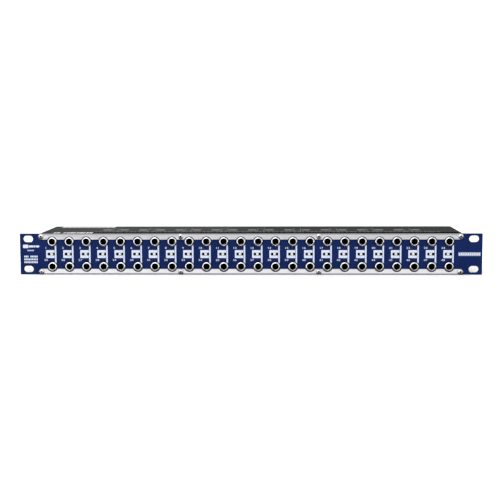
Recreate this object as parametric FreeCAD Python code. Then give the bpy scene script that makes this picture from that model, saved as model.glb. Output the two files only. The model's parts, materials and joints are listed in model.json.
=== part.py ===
import FreeCAD, Part
import math
import os

# Audio patch bay: a one-unit rack panel with two rows of quarter-inch sockets at the front, two at
# the back, and a three-position mode switch between each pair of front sockets.
# Frame, in millimetres: +X to the right as seen from the front, +Y into the body, +Z up.
# Origin: centre of the four rack slots, on the rear face of the front panel.

# ---- Front panel and its rack slots ----
PANEL_WIDTH = 482.6
PANEL_HEIGHT = 43.0
PANEL_THICKNESS = 2.0
PANEL_CORNER_RADIUS = 0.8
RACK_SLOT_SPACING_X = 465.1
RACK_SLOT_SPACING_Z = 31.75
RACK_SLOT_LENGTH = 10.2
RACK_SLOT_WIDTH = 6.8

# ---- Channels: one column of sockets each ----
CHANNELS = 24
CHANNEL_PITCH = 18.0
CHANNELS_PER_BOARD = 8
ROW_HEIGHT = 13.1                  # from the panel's centre line to each row's axis

# ---- Trim strips on the panel's face ----
STRIP_HEIGHT = 6.0
STRIP_THICKNESS = 1.6
STRIP_CHAMFER = 1.3
SCREW_COLUMNS = (-218.5, -72.0, 72.0, 218.5)
SCREW_ROW = PANEL_HEIGHT / 2 - STRIP_HEIGHT / 2

# ---- Sheet-metal body ----
BODY_WIDTH = 444.5
BODY_HEIGHT = 42.2
BODY_DEPTH = 87.0                  # from the panel's rear face to the rear wall's outer face
SHEET = 1.0
COVER_BEND_RADIUS = 1.2
COVER_FRONT_GAP = 0.4              # between the panel and the cover's front edge
COVER_TOP_GAP = 0.1                # between the tray's walls and the cover's roof
SHEET_CLEARANCE = 0.05             # between the cover's sides and the tray's flanges
TRAY_FLANGE_TOP = -9.0
TRAY_LIP_TOP = -18.7
POST_WIDTH = 7.0
POST_WAIST = (3.6, 7.0)            # width and height of each post's waist, level with the mode switches
COVER_SCREW_DEPTHS = (20.0, 67.0)
COVER_SCREW_HEIGHT = -15.0

# ---- M3 screws ----
SHANK_RADIUS = 1.5
THREAD_RADIUS = 1.55
CLEARANCE_RADIUS = 1.7
HEAD_RADIUS = 2.8
HEAD_HEIGHT = 1.8
HEAD_CROWN = 1.0                   # how much of a pan head's height is rounded
BUTTON_RADIUS = 2.85
BUTTON_HEIGHT = 1.65
BUTTON_RIM = 0.3
BUTTON_FLAT_RADIUS = 1.4
BUTTON_BOW = 0.22                  # how far the button's dome stands out from a plain cone
HEX_SOCKET = (2.0, 1.1)            # across flats, and depth
RECESS_SPAN = 2.8
RECESS_WIDTH = 0.6
RECESS_DEPTH = 1.1
PANEL_SCREW_LENGTH = 8.0
COVER_SCREW_LENGTH = 4.0
BOARD_SCREW_LENGTH = 6.0

# ---- Sockets, each in its own frame: axis along Y, panel's rear face at Y = 0 ----
SOCKET_HOLE_RADIUS = 5.55          # hole in the panel and in the rear wall
BORE_RADIUS = 3.25
NOSE_RADIUS = 4.8
NOSE_TIP = -4.2
MOUTH_ROUND = 0.4
NOSE_BACK = 1.2                    # the shoulder that rests on the housing
BARREL_RADIUS = 4.3
BARREL_CLEARANCE = 0.05
BARREL_END = 7.0
HOUSING_WIDTH = 14.0
HOUSING_HEIGHT = 13.0
HOUSING_BACK = 27.0
HOUSING_WALL = 1.0
CHAMBER_FRONT = 6.5
FOOT_FRONT = 14.0
CONTACT_WIDTH = 2.4
CONTACT_THICKNESS = 0.4
RING_LEAF_END = -3.9               # height of each leaf's free end, where it rests on its break contact
TIP_LEAF_END = -3.6
REAR_SOCKET_SHIFT = 85.0           # a rear socket is a front one turned about Z and moved back by this

# ---- Circuit boards ----
BOARD_THICKNESS = 1.6
BOARD_GAP = 0.6
BOARD_FRONT = 2.5
BOARD_BACK = 82.5
STANDOFF_OFFSETS = (-54.0, 54.0)
STANDOFF_DEPTHS = (36.0, 49.0)
STANDOFF_ACROSS_FLATS = 5.5
SPIGOT_RADIUS = 2.1

# ---- Mode switches, each in its own frame: centre of travel at X = 0, panel's rear face at Y = 0 ----
SWITCH_OFFSET = -1.0               # from the channel's centre line
SWITCH_WINDOW_WIDTH = 7.4
SWITCH_WINDOW_HEIGHT = 2.7
SHELL_WIDTH = 12.0
SHELL_HEIGHT = 5.4
SHELL_FRONT = 0.3
SHELL_BACK = 8.0
SHELL_SHEET = 0.3
SHELL_WINDOW_WIDTH = 7.0
TAB_LENGTH = 2.2
TAB_SPAN = (3.5, 6.5)
NOTCH_CLEARANCE = 0.2
NOTCH_BACK = 8.5
LEVER_WIDTH = 2.4
LEVER_HEIGHT = 2.4
LEVER_TIP = -3.0
LEVER_EDGE = 0.35
CARRIER_WIDTH = 6.4
CARRIER_HEIGHT = 4.2
CARRIER_SPAN = (0.75, 3.0)
BASE_FRONT = 3.2
BASE_CLEARANCE = 0.05
WIPER_GROOVE = (10.0, 2.4, 1.0)    # width, height and depth of the groove that the wiper runs in

# ---- Worked out from the above ----
PANEL_FRONT = -PANEL_THICKNESS
STRIP_FRONT = PANEL_FRONT - STRIP_THICKNESS
STRIP_INNER_EDGE = PANEL_HEIGHT / 2 - STRIP_HEIGHT
BODY_TOP = BODY_HEIGHT / 2
BODY_SIDE = BODY_WIDTH / 2
TRAY_SIDE = BODY_SIDE - SHEET - SHEET_CLEARANCE
FLOOR_TOP = -BODY_TOP + SHEET
WALL_TOP = BODY_TOP - SHEET - COVER_TOP_GAP
BOARD_TOP = BOARD_THICKNESS / 2
FOOT_BOTTOM = BOARD_TOP - ROW_HEIGHT
BOARDS = CHANNELS // CHANNELS_PER_BOARD
BOARD_PITCH = CHANNELS_PER_BOARD * CHANNEL_PITCH
NOSE_ROUND = NOSE_RADIUS - BORE_RADIUS - MOUTH_ROUND
ORIGIN = FreeCAD.Vector(0, 0, 0)
X_AXIS = FreeCAD.Vector(1, 0, 0)
Y_AXIS = FreeCAD.Vector(0, 1, 0)
Z_AXIS = FreeCAD.Vector(0, 0, 1)


def channel_x(channel):
    """X of a channel's centre line, for channels counted from 0 at the left."""
    return (channel - (CHANNELS - 1) / 2) * CHANNEL_PITCH


def board_x(board):
    """X of a circuit board's centre line, for boards counted from 0 at the left."""
    return (board - (BOARDS - 1) / 2) * BOARD_PITCH


CHANNEL_XS = [channel_x(channel) for channel in range(CHANNELS)]
BOARD_XS = [board_x(board) for board in range(BOARDS)]


# ---- Shape helpers ----

def block(x_range, y_range, z_range):
    """A box between two corners, given as ranges along X, Y and Z."""
    corner = FreeCAD.Vector(x_range[0], y_range[0], z_range[0])
    sides = [high - low for low, high in (x_range, y_range, z_range)]
    return Part.makeBox(*sides, corner)


def centred(width, middle=0.0):
    """The range of the given width about a middle."""
    return middle - width / 2, middle + width / 2


def rod(radius, y_range, x=0.0, z=0.0):
    """A round bar along Y."""
    start = FreeCAD.Vector(x, y_range[0], z)
    return Part.makeCylinder(radius, y_range[1] - y_range[0], start, Y_AXIS)


def rounded_plate(width, height, radius, y_range, x=0.0, z=0.0):
    """A plate facing Y with four round corners; a radius of half its height gives round ends."""
    half_width = width / 2 - radius
    half_height = height / 2 - radius
    plate = block(centred(width, x), y_range, centred(2 * half_height, z)) if half_height > 0 else None
    middle = block(centred(2 * half_width, x), y_range, centred(height, z))
    corners = [
        rod(radius, y_range, x + sx * half_width, z + sz * half_height)
        for sx in (-1, 1)
        for sz in ((-1, 1) if half_height > 0 else (1,))
    ]
    pieces = corners + ([plate] if plate else [])
    return middle.fuse(pieces).removeSplitter()


def revolved(edges):
    """A solid turned about the Y axis from a closed outline in the XY plane."""
    return Part.Face(Part.Wire(edges)).revolve(ORIGIN, Y_AXIS, 360)


def line(start, end):
    """A straight edge between two (radius, y) points."""
    return Part.makeLine(FreeCAD.Vector(*start, 0), FreeCAD.Vector(*end, 0))


def quarter_round(start, centre, end):
    """A quarter-circle edge between two (radius, y) points about a centre."""
    radius = math.hypot(start[0] - centre[0], start[1] - centre[1])
    across = FreeCAD.Vector(start[0] + end[0] - 2 * centre[0], start[1] + end[1] - 2 * centre[1], 0)
    middle = FreeCAD.Vector(*centre, 0) + across.normalize() * radius
    return Part.Arc(FreeCAD.Vector(*start, 0), middle, FreeCAD.Vector(*end, 0)).toShape()


def bowed(start, end, bow):
    """A circular edge between two (radius, y) points, bowed to the left of the way from start to end."""
    across = unit((start[1] - end[1], end[0] - start[0]))
    middle = ((start[0] + end[0]) / 2 + across[0] * bow, (start[1] + end[1]) / 2 + across[1] * bow)
    return Part.Arc(*[FreeCAD.Vector(*point, 0) for point in (start, middle, end)]).toShape()


def hexagonal_bar(across_flats, height):
    """A hexagonal bar that stands on Z = 0."""
    radius = across_flats / math.sqrt(3)
    turns = [math.radians(60 * step) for step in range(7)]
    corners = [FreeCAD.Vector(radius * math.cos(turn), radius * math.sin(turn), 0) for turn in turns]
    return Part.Face(Part.makePolygon(corners)).extrude(Z_AXIS * height)


def bent_strip(points):
    """A contact leaf: a strip of constant thickness that follows (y, z) points, centred on X = 0."""
    half = CONTACT_THICKNESS / 2
    near, far = [], []
    for index, (y, z) in enumerate(points):
        before = points[max(index - 1, 0)]
        after = points[min(index + 1, len(points) - 1)]
        arriving = unit((y - before[0], z - before[1])) or unit((after[0] - y, after[1] - z))
        leaving = unit((after[0] - y, after[1] - z)) or arriving
        normal = unit((-arriving[1] - leaving[1], arriving[0] + leaving[0]))
        reach = half / (normal[0] * -leaving[1] + normal[1] * leaving[0])
        near.append((y + normal[0] * reach, z + normal[1] * reach))
        far.append((y - normal[0] * reach, z - normal[1] * reach))
    outline = near + far[::-1]
    corners = [FreeCAD.Vector(-CONTACT_WIDTH / 2, y, z) for y, z in outline + outline[:1]]
    return Part.Face(Part.makePolygon(corners)).extrude(X_AXIS * CONTACT_WIDTH)


def unit(direction):
    """The direction at unit length, or None if it has no length."""
    length = math.hypot(*direction)
    return (direction[0] / length, direction[1] / length) if length else None


def moved(shape, x=0.0, y=0.0, z=0.0):
    """A copy of the shape, shifted."""
    copy = shape.copy()
    copy.translate(FreeCAD.Vector(x, y, z))
    return copy


def turned(shape, axis, degrees):
    """A copy of the shape, turned about an axis through the origin."""
    copy = shape.copy()
    copy.rotate(ORIGIN, axis, degrees)
    return copy


def group(shapes):
    """Separate solids kept together as one node."""
    return Part.makeCompound(shapes)


# ---- Screws ----

def pan_screw(length):
    """An M3 pan-head screw with a cross recess: head towards -Y, seated at Y = 0, shank along +Y."""
    rim = HEAD_HEIGHT - HEAD_CROWN
    flat = HEAD_RADIUS - HEAD_CROWN
    head = revolved([
        line((0, 0), (HEAD_RADIUS, 0)),
        line((HEAD_RADIUS, 0), (HEAD_RADIUS, -rim)),
        quarter_round((HEAD_RADIUS, -rim), (flat, -rim), (flat, -HEAD_HEIGHT)),
        line((flat, -HEAD_HEIGHT), (0, -HEAD_HEIGHT)),
        line((0, -HEAD_HEIGHT), (0, 0)),
    ])
    recess_depths = (-HEAD_HEIGHT, -HEAD_HEIGHT + RECESS_DEPTH)
    recess = block(centred(RECESS_SPAN), recess_depths, centred(RECESS_WIDTH))
    recess = recess.fuse(block(centred(RECESS_WIDTH), recess_depths, centred(RECESS_SPAN)))
    return head.cut(recess).fuse(rod(SHANK_RADIUS, (0, length))).removeSplitter()


def button_screw(length):
    """An M3 button-head screw with a hexagon socket, placed as the pan-head screw is."""
    head = revolved([
        line((0, 0), (BUTTON_RADIUS, 0)),
        line((BUTTON_RADIUS, 0), (BUTTON_RADIUS, -BUTTON_RIM)),
        bowed((BUTTON_RADIUS, -BUTTON_RIM), (BUTTON_FLAT_RADIUS, -BUTTON_HEIGHT), BUTTON_BOW),
        line((BUTTON_FLAT_RADIUS, -BUTTON_HEIGHT), (0, -BUTTON_HEIGHT)),
        line((0, -BUTTON_HEIGHT), (0, 0)),
    ])
    socket = moved(turned(hexagonal_bar(*HEX_SOCKET), X_AXIS, -90), y=-BUTTON_HEIGHT)
    return head.cut(socket).fuse(rod(SHANK_RADIUS, (0, length))).removeSplitter()


def front_panel_screws():
    """Eight screws that hold the trim strips and the panel to the tray's posts."""
    screw = button_screw(PANEL_SCREW_LENGTH)
    return group([moved(screw, x, STRIP_FRONT, side * SCREW_ROW) for x in SCREW_COLUMNS for side in (1, -1)])


def cover_screws():
    """Two screws on each side that hold the cover to the tray's flanges."""
    screw = pan_screw(COVER_SCREW_LENGTH)
    screws = []
    for side in (-1, 1):
        outward = turned(screw, Z_AXIS, side * 90)
        screws += [moved(outward, side * BODY_SIDE, y, COVER_SCREW_HEIGHT) for y in COVER_SCREW_DEPTHS]
    return group(screws)


def board_screws():
    """A screw down into each standoff, on top of the circuit boards."""
    screw = turned(pan_screw(BOARD_SCREW_LENGTH), X_AXIS, -90)
    return group([moved(screw, x, y, BOARD_TOP) for x, y in standoff_places()])


# ---- Front panel and trim ----

def socket_holes(y_range):
    """A cutter for every socket on one face of the body."""
    return [rod(SOCKET_HOLE_RADIUS, y_range, x, side * ROW_HEIGHT) for x in CHANNEL_XS for side in (1, -1)]


def screw_holes(radius, y_range, sides=(1, -1)):
    """A cutter for every front panel screw in the given rows."""
    return [rod(radius, y_range, x, side * SCREW_ROW) for x in SCREW_COLUMNS for side in sides]


def front_panel():
    """The rack panel: sockets, switch windows, screw holes and four open rack slots."""
    through = (PANEL_FRONT - 1, 1)
    plate = rounded_plate(PANEL_WIDTH, PANEL_HEIGHT, PANEL_CORNER_RADIUS, (PANEL_FRONT, 0))
    windows = [
        block(centred(SWITCH_WINDOW_WIDTH, x + SWITCH_OFFSET), through, centred(SWITCH_WINDOW_HEIGHT))
        for x in CHANNEL_XS
    ]
    slots = [
        rounded_plate(RACK_SLOT_LENGTH, RACK_SLOT_WIDTH, RACK_SLOT_WIDTH / 2, through, x, z)
        for x in centred(RACK_SLOT_SPACING_X)
        for z in centred(RACK_SLOT_SPACING_Z)
    ]
    return plate.cut(socket_holes(through) + screw_holes(CLEARANCE_RADIUS, through) + windows + slots)


def trim_strip(side):
    """A bright strip along one long edge of the panel, scalloped around the sockets."""
    depths = (STRIP_FRONT, PANEL_FRONT)
    width = 2 * (SCREW_COLUMNS[-1] + STRIP_HEIGHT / 2)
    strip = rounded_plate(width, STRIP_HEIGHT, STRIP_HEIGHT / 2, depths, z=side * SCREW_ROW)
    outer_edges = [
        edge for edge in strip.Edges
        if abs(edge.CenterOfMass.z - side * PANEL_HEIGHT / 2) < 0.01
        and abs(edge.CenterOfMass.y - STRIP_FRONT) < 0.01
    ]
    strip = strip.makeChamfer(STRIP_CHAMFER, outer_edges)
    through = (STRIP_FRONT - 1, PANEL_FRONT + 1)
    scallops = [rod(SOCKET_HOLE_RADIUS, through, x, side * ROW_HEIGHT) for x in CHANNEL_XS]
    return strip.cut(scallops + screw_holes(CLEARANCE_RADIUS, through, (side,)))


# ---- Sheet-metal body ----

def front_post(x):
    """A post behind the panel for two of its screws, narrowed between the mode switches beside it."""
    low, high = centred(POST_WIDTH, x)
    post = block((max(low, -TRAY_SIDE), min(high, TRAY_SIDE)), (0, SHEET), (-BODY_TOP, WALL_TOP))
    width, height = POST_WAIST
    through = (-1, SHEET + 1)
    around_waist = block(centred(2 * POST_WIDTH, x), through, centred(height))
    return post.cut(around_waist.cut(block(centred(width, x), through, centred(height))))


def chassis_tray():
    """Floor, side flanges, front lip, four front posts and the rear wall, folded from one sheet."""
    floor = block(centred(2 * TRAY_SIDE), (0, BODY_DEPTH), (-BODY_TOP, FLOOR_TOP))
    rear_wall = block(centred(2 * TRAY_SIDE), (BODY_DEPTH - SHEET, BODY_DEPTH), (-BODY_TOP, WALL_TOP))
    lip = block(centred(2 * TRAY_SIDE), (0, SHEET), (-BODY_TOP, TRAY_LIP_TOP))
    flanges = [
        block(sorted((side * TRAY_SIDE, side * (TRAY_SIDE - SHEET))), (0, BODY_DEPTH), (-BODY_TOP, TRAY_FLANGE_TOP))
        for side in (-1, 1)
    ]
    posts = [front_post(x) for x in SCREW_COLUMNS]
    tray = floor.fuse([rear_wall, lip] + flanges + posts).removeSplitter()
    spigots = [
        Part.makeCylinder(SPIGOT_RADIUS, 2 * SHEET, FreeCAD.Vector(x, y, -BODY_TOP - SHEET / 2), Z_AXIS)
        for x, y in standoff_places()
    ]
    cover_threads = [
        Part.makeCylinder(THREAD_RADIUS, 2 * BODY_WIDTH, FreeCAD.Vector(-BODY_WIDTH, y, COVER_SCREW_HEIGHT), X_AXIS)
        for y in COVER_SCREW_DEPTHS
    ]
    rear_holes = socket_holes((BODY_DEPTH - 2 * SHEET, BODY_DEPTH + SHEET))
    return tray.cut(spigots + cover_threads + rear_holes + screw_holes(THREAD_RADIUS, (-1, 2 * SHEET)))


def top_cover():
    """Roof and both sides, folded from one sheet and slid over the tray."""
    depths = (COVER_FRONT_GAP, BODY_DEPTH)
    outside = block(centred(BODY_WIDTH), depths, (-BODY_TOP, BODY_TOP))
    bends = [
        edge for edge in outside.Edges
        if abs(edge.CenterOfMass.z - BODY_TOP) < 0.01 and abs(abs(edge.CenterOfMass.x) - BODY_SIDE) < 0.01
    ]
    outside = outside.makeFillet(COVER_BEND_RADIUS, bends)
    inside_depths = (depths[0] - 1, depths[1] + 1)
    inside = block(centred(BODY_WIDTH - 2 * SHEET), inside_depths, (-BODY_TOP - 1, BODY_TOP - SHEET))
    holes = [
        Part.makeCylinder(CLEARANCE_RADIUS, 2 * BODY_WIDTH, FreeCAD.Vector(-BODY_WIDTH, y, COVER_SCREW_HEIGHT), X_AXIS)
        for y in COVER_SCREW_DEPTHS
    ]
    return outside.cut([inside] + holes)


# ---- Circuit boards ----

def standoff_places():
    """(x, y) of every standoff: four under each circuit board."""
    return [(x + dx, y) for x in BOARD_XS for dx in STANDOFF_OFFSETS for y in STANDOFF_DEPTHS]


def circuit_board(board):
    """A board level with the panel's centre line, notched at its front edge for the mode switches."""
    x = BOARD_XS[board]
    plate = block(centred(BOARD_PITCH - BOARD_GAP, x), (BOARD_FRONT, BOARD_BACK), centred(BOARD_THICKNESS))
    first = board * CHANNELS_PER_BOARD
    notches = [
        block(
            centred(SHELL_WIDTH + 2 * NOTCH_CLEARANCE, channel_x(channel) + SWITCH_OFFSET),
            (BOARD_FRONT - 1, NOTCH_BACK),
            centred(2 * BOARD_THICKNESS),
        )
        for channel in range(first, first + CHANNELS_PER_BOARD)
    ]
    holes = [
        Part.makeCylinder(CLEARANCE_RADIUS, 2 * BOARD_THICKNESS, FreeCAD.Vector(x + dx, y, -BOARD_THICKNESS), Z_AXIS)
        for dx in STANDOFF_OFFSETS
        for y in STANDOFF_DEPTHS
    ]
    return plate.cut(notches + holes)


def board_standoffs():
    """Hexagonal pillars, each with a spigot clinched flush into the floor and a blind thread at its top."""
    height = -BOARD_TOP - FLOOR_TOP
    spigot = Part.makeCylinder(SPIGOT_RADIUS, SHEET, FreeCAD.Vector(0, 0, -SHEET), Z_AXIS)
    pillar = hexagonal_bar(STANDOFF_ACROSS_FLATS, height).fuse(spigot)
    thread_depth = BOARD_SCREW_LENGTH + 1
    thread = Part.makeCylinder(THREAD_RADIUS, thread_depth, FreeCAD.Vector(0, 0, height - thread_depth), Z_AXIS)
    pillar = pillar.cut(thread)
    return group([moved(pillar, x, y, FLOOR_TOP) for x, y in standoff_places()])


# ---- Sockets ----

def socket_bushing():
    """The bright bushing: a nose whose rim is round from mouth to side, and a barrel held in the housing."""
    inner = BORE_RADIUS + MOUTH_ROUND
    mouth_y = NOSE_TIP + MOUTH_ROUND
    side_y = NOSE_TIP + NOSE_ROUND
    return revolved([
        line((BORE_RADIUS, BARREL_END), (BORE_RADIUS, mouth_y)),
        quarter_round((BORE_RADIUS, mouth_y), (inner, mouth_y), (inner, NOSE_TIP)),
        quarter_round((inner, NOSE_TIP), (inner, side_y), (NOSE_RADIUS, side_y)),
        line((NOSE_RADIUS, side_y), (NOSE_RADIUS, NOSE_BACK)),
        line((NOSE_RADIUS, NOSE_BACK), (BARREL_RADIUS, NOSE_BACK)),
        line((BARREL_RADIUS, NOSE_BACK), (BARREL_RADIUS, BARREL_END)),
        line((BARREL_RADIUS, BARREL_END), (BORE_RADIUS, BARREL_END)),
    ])


def socket_housing():
    """The moulded housing: a chamber around the plug, and a hollow foot that stands on the board."""
    low, high = centred(HOUSING_HEIGHT)
    body = block(centred(HOUSING_WIDTH), (NOSE_BACK, HOUSING_BACK), (low, high))
    foot = block(centred(HOUSING_WIDTH), (FOOT_FRONT, HOUSING_BACK), (FOOT_BOTTOM, low))
    inner_width = centred(HOUSING_WIDTH - 2 * HOUSING_WALL)
    inner_back = HOUSING_BACK - HOUSING_WALL
    chamber = block(inner_width, (CHAMBER_FRONT, inner_back), (low + HOUSING_WALL, high - HOUSING_WALL))
    foot_front = FOOT_FRONT + HOUSING_WALL / 2
    foot_chamber = block(inner_width, (foot_front, inner_back), (FOOT_BOTTOM - 1, low + 2 * HOUSING_WALL))
    seat = rod(BARREL_RADIUS + BARREL_CLEARANCE, (NOSE_BACK - 1, CHAMBER_FRONT + 1))
    return body.fuse(foot).removeSplitter().cut([chamber, foot_chamber, seat])


def sleeve_contact():
    """A leaf from the bushing's inner end down to the board."""
    bushing_y = BARREL_END + CONTACT_THICKNESS / 2
    return bent_strip([(bushing_y, -3.5), (bushing_y, -5.2), (15.1, -5.2), (15.1, FOOT_BOTTOM)])


def ring_contact():
    """A sprung leaf that bears on the plug's ring."""
    return bent_strip([(19.2, FOOT_BOTTOM), (19.2, -4.2), (17.4, -2.6), (16.5, RING_LEAF_END), (15.9, RING_LEAF_END)])


def tip_contact():
    """A sprung leaf that bears on the plug's tip."""
    return bent_strip([(24.6, FOOT_BOTTOM), (24.6, -4.2), (22.8, -1.9), (21.6, TIP_LEAF_END), (21.0, TIP_LEAF_END)])


def ring_break_contact():
    """A post under the ring leaf's free end, which parts from it when a plug goes in."""
    return bent_strip([(16.2, FOOT_BOTTOM), (16.2, RING_LEAF_END - CONTACT_THICKNESS / 2)])


def tip_break_contact():
    """A post under the tip leaf's free end, which parts from it when a plug goes in."""
    return bent_strip([(21.3, FOOT_BOTTOM), (21.3, TIP_LEAF_END - CONTACT_THICKNESS / 2)])


def socket_row(piece, rear, upper):
    """One copy of a socket's piece for each channel, in the front or rear and upper or lower row."""
    placed = piece
    if rear:
        placed = turned(placed, Z_AXIS, 180)
    if not upper:
        placed = turned(placed, Y_AXIS, 180)
    shift = REAR_SOCKET_SHIFT if rear else 0
    height = ROW_HEIGHT if upper else -ROW_HEIGHT
    return [moved(placed, x, shift, height) for x in CHANNEL_XS]


def socket_nodes():
    """Every socket's pieces. Only the front sockets have break contacts."""
    nodes = {}
    for face, rear in (("front", False), ("rear", True)):
        for level, upper in (("upper", True), ("lower", False)):
            nodes[f"{face}_{level}_socket_bushings"] = group(socket_row(socket_bushing(), rear, upper))
            nodes[f"{face}_{level}_socket_housings"] = group(socket_row(socket_housing(), rear, upper))
        contacts = {"sleeve_contacts": sleeve_contact(), "ring_contacts": ring_contact(), "tip_contacts": tip_contact()}
        if not rear:
            contacts["ring_break_contacts"] = ring_break_contact()
            contacts["tip_break_contacts"] = tip_break_contact()
        for name, piece in contacts.items():
            nodes[f"{face}_{name}"] = group(socket_row(piece, rear, True) + socket_row(piece, rear, False))
    return nodes


# ---- Mode switches ----

def switch_shell():
    """The folded steel shell, open at the back, with a window for the lever and two tabs on the board."""
    outside = block(centred(SHELL_WIDTH), (SHELL_FRONT, SHELL_BACK), centred(SHELL_HEIGHT))
    inner_front = SHELL_FRONT + SHELL_SHEET
    inside = block(
        centred(SHELL_WIDTH - 2 * SHELL_SHEET), (inner_front, SHELL_BACK + 1), centred(SHELL_HEIGHT - 2 * SHELL_SHEET)
    )
    window = block(centred(SHELL_WINDOW_WIDTH), (SHELL_FRONT - 1, inner_front + 1), centred(SWITCH_WINDOW_HEIGHT))
    tab_half = SHELL_WIDTH / 2 + TAB_LENGTH
    tab_heights = (BOARD_TOP, BOARD_TOP + SHELL_SHEET)
    tabs = [
        block(sorted((side * (SHELL_WIDTH / 2 - SHELL_SHEET), side * tab_half)), TAB_SPAN, tab_heights)
        for side in (-1, 1)
    ]
    return outside.cut([inside, window]).fuse(tabs).removeSplitter()


def switch_base():
    """The insulating base that closes the shell and holds the fixed contacts."""
    shell_gap = SHELL_SHEET + BASE_CLEARANCE
    base = block(
        centred(SHELL_WIDTH - 2 * shell_gap), (BASE_FRONT, SHELL_BACK), centred(SHELL_HEIGHT - 2 * shell_gap)
    )
    groove_width, groove_height, groove_depth = WIPER_GROOVE
    groove = block(centred(groove_width), (BASE_FRONT - 1, BASE_FRONT + groove_depth), centred(groove_height))
    return base.cut(groove)


def switch_lever():
    """The moulded lever: a carrier inside the shell and a knob that stands out of the panel."""
    carrier = block(centred(CARRIER_WIDTH), CARRIER_SPAN, centred(CARRIER_HEIGHT))
    knob = block(centred(LEVER_WIDTH), (LEVER_TIP, CARRIER_SPAN[0]), centred(LEVER_HEIGHT))
    tip_edges = [edge for edge in knob.Edges if abs(edge.CenterOfMass.y - LEVER_TIP) < 0.01]
    return carrier.fuse(knob.makeFillet(LEVER_EDGE, tip_edges)).removeSplitter()


def switch_nodes():
    """Shells and bases as one node each, and a node for every lever, because each one slides by itself."""
    switch_xs = [x + SWITCH_OFFSET for x in CHANNEL_XS]
    nodes = {
        "mode_switch_shells": group([moved(switch_shell(), x) for x in switch_xs]),
        "mode_switch_bases": group([moved(switch_base(), x) for x in switch_xs]),
    }
    for number, x in enumerate(switch_xs, start=1):
        nodes[f"mode_switch_lever_{number:02d}"] = moved(switch_lever(), x)
    return nodes


# ---- The whole patch bay ----

def all_nodes():
    """Every node of the patch bay, by name."""
    nodes = {
        "front_panel": front_panel(),
        "upper_trim_strip": trim_strip(1),
        "lower_trim_strip": trim_strip(-1),
        "front_panel_screws": front_panel_screws(),
        "chassis_tray": chassis_tray(),
        "top_cover": top_cover(),
        "cover_screws": cover_screws(),
        "board_standoffs": board_standoffs(),
        "board_screws": board_screws(),
    }
    for board, place in enumerate(("left", "centre", "right")):
        nodes[f"{place}_circuit_board"] = circuit_board(board)
    return {**nodes, **socket_nodes(), **switch_nodes()}


os.makedirs("parts", exist_ok=True)
for name, shape in all_nodes().items():
    shape.exportStep(f"parts/{name}.step")
    print(name, len(shape.Solids), "solids", round(shape.Volume, 1), "mm3")
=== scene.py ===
"""Looks of the audio patch bay: paint, bright metal, printing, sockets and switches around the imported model."""
import json
import logging
import math
from contextlib import contextmanager
from dataclasses import dataclass, field
from enum import Enum
from typing import Callable, Iterator, Sequence

import bmesh
import bpy
from mathutils import Matrix, Vector


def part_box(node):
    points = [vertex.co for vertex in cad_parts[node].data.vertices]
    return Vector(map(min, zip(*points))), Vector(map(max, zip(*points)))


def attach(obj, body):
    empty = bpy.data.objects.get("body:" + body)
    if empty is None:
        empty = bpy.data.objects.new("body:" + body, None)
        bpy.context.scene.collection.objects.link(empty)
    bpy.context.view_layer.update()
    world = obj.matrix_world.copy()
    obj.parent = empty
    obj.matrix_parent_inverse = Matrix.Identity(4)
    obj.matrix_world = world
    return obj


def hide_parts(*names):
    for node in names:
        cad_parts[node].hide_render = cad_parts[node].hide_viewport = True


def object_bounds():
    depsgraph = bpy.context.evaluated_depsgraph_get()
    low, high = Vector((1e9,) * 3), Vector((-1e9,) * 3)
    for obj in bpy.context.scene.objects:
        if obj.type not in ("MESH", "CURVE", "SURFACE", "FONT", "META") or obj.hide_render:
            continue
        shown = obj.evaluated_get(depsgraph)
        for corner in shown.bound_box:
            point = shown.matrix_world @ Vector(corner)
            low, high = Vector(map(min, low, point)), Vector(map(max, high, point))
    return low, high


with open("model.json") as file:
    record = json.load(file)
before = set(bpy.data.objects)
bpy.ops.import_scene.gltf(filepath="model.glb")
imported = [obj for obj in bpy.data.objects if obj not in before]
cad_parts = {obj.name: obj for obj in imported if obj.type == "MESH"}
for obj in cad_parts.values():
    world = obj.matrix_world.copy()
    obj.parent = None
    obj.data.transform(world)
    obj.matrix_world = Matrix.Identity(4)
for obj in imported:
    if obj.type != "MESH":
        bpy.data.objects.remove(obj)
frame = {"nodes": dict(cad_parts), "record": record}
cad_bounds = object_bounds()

log = logging.getLogger("patch_bay")

MM = 0.001
CHASSIS = "chassis"

AHEAD = -10 * MM  # Y of a cutter's start, clear of everything on the panel
BEHIND = 5 * MM  # Y of its end

Colour = tuple[float, float, float]
Span = tuple[float, float]
Point = tuple[float, float]


class Level(Enum):
    """The upper or the lower of a pair of rows, with the sign of its Z."""

    UPPER = 1
    LOWER = -1

    @property
    def word(self) -> str:
        """The row's name as the frame's nodes spell it."""
        return self.name.lower()


class Face(Enum):
    """The front or the rear of the body, with the Y direction that looks out of it."""

    FRONT = -1
    REAR = 1

    @property
    def word(self) -> str:
        """The face's name as the frame's nodes spell it."""
        return self.name.lower()


# ---------------------------------------------------------------------------------------------------
# Shader building
# ---------------------------------------------------------------------------------------------------

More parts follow.
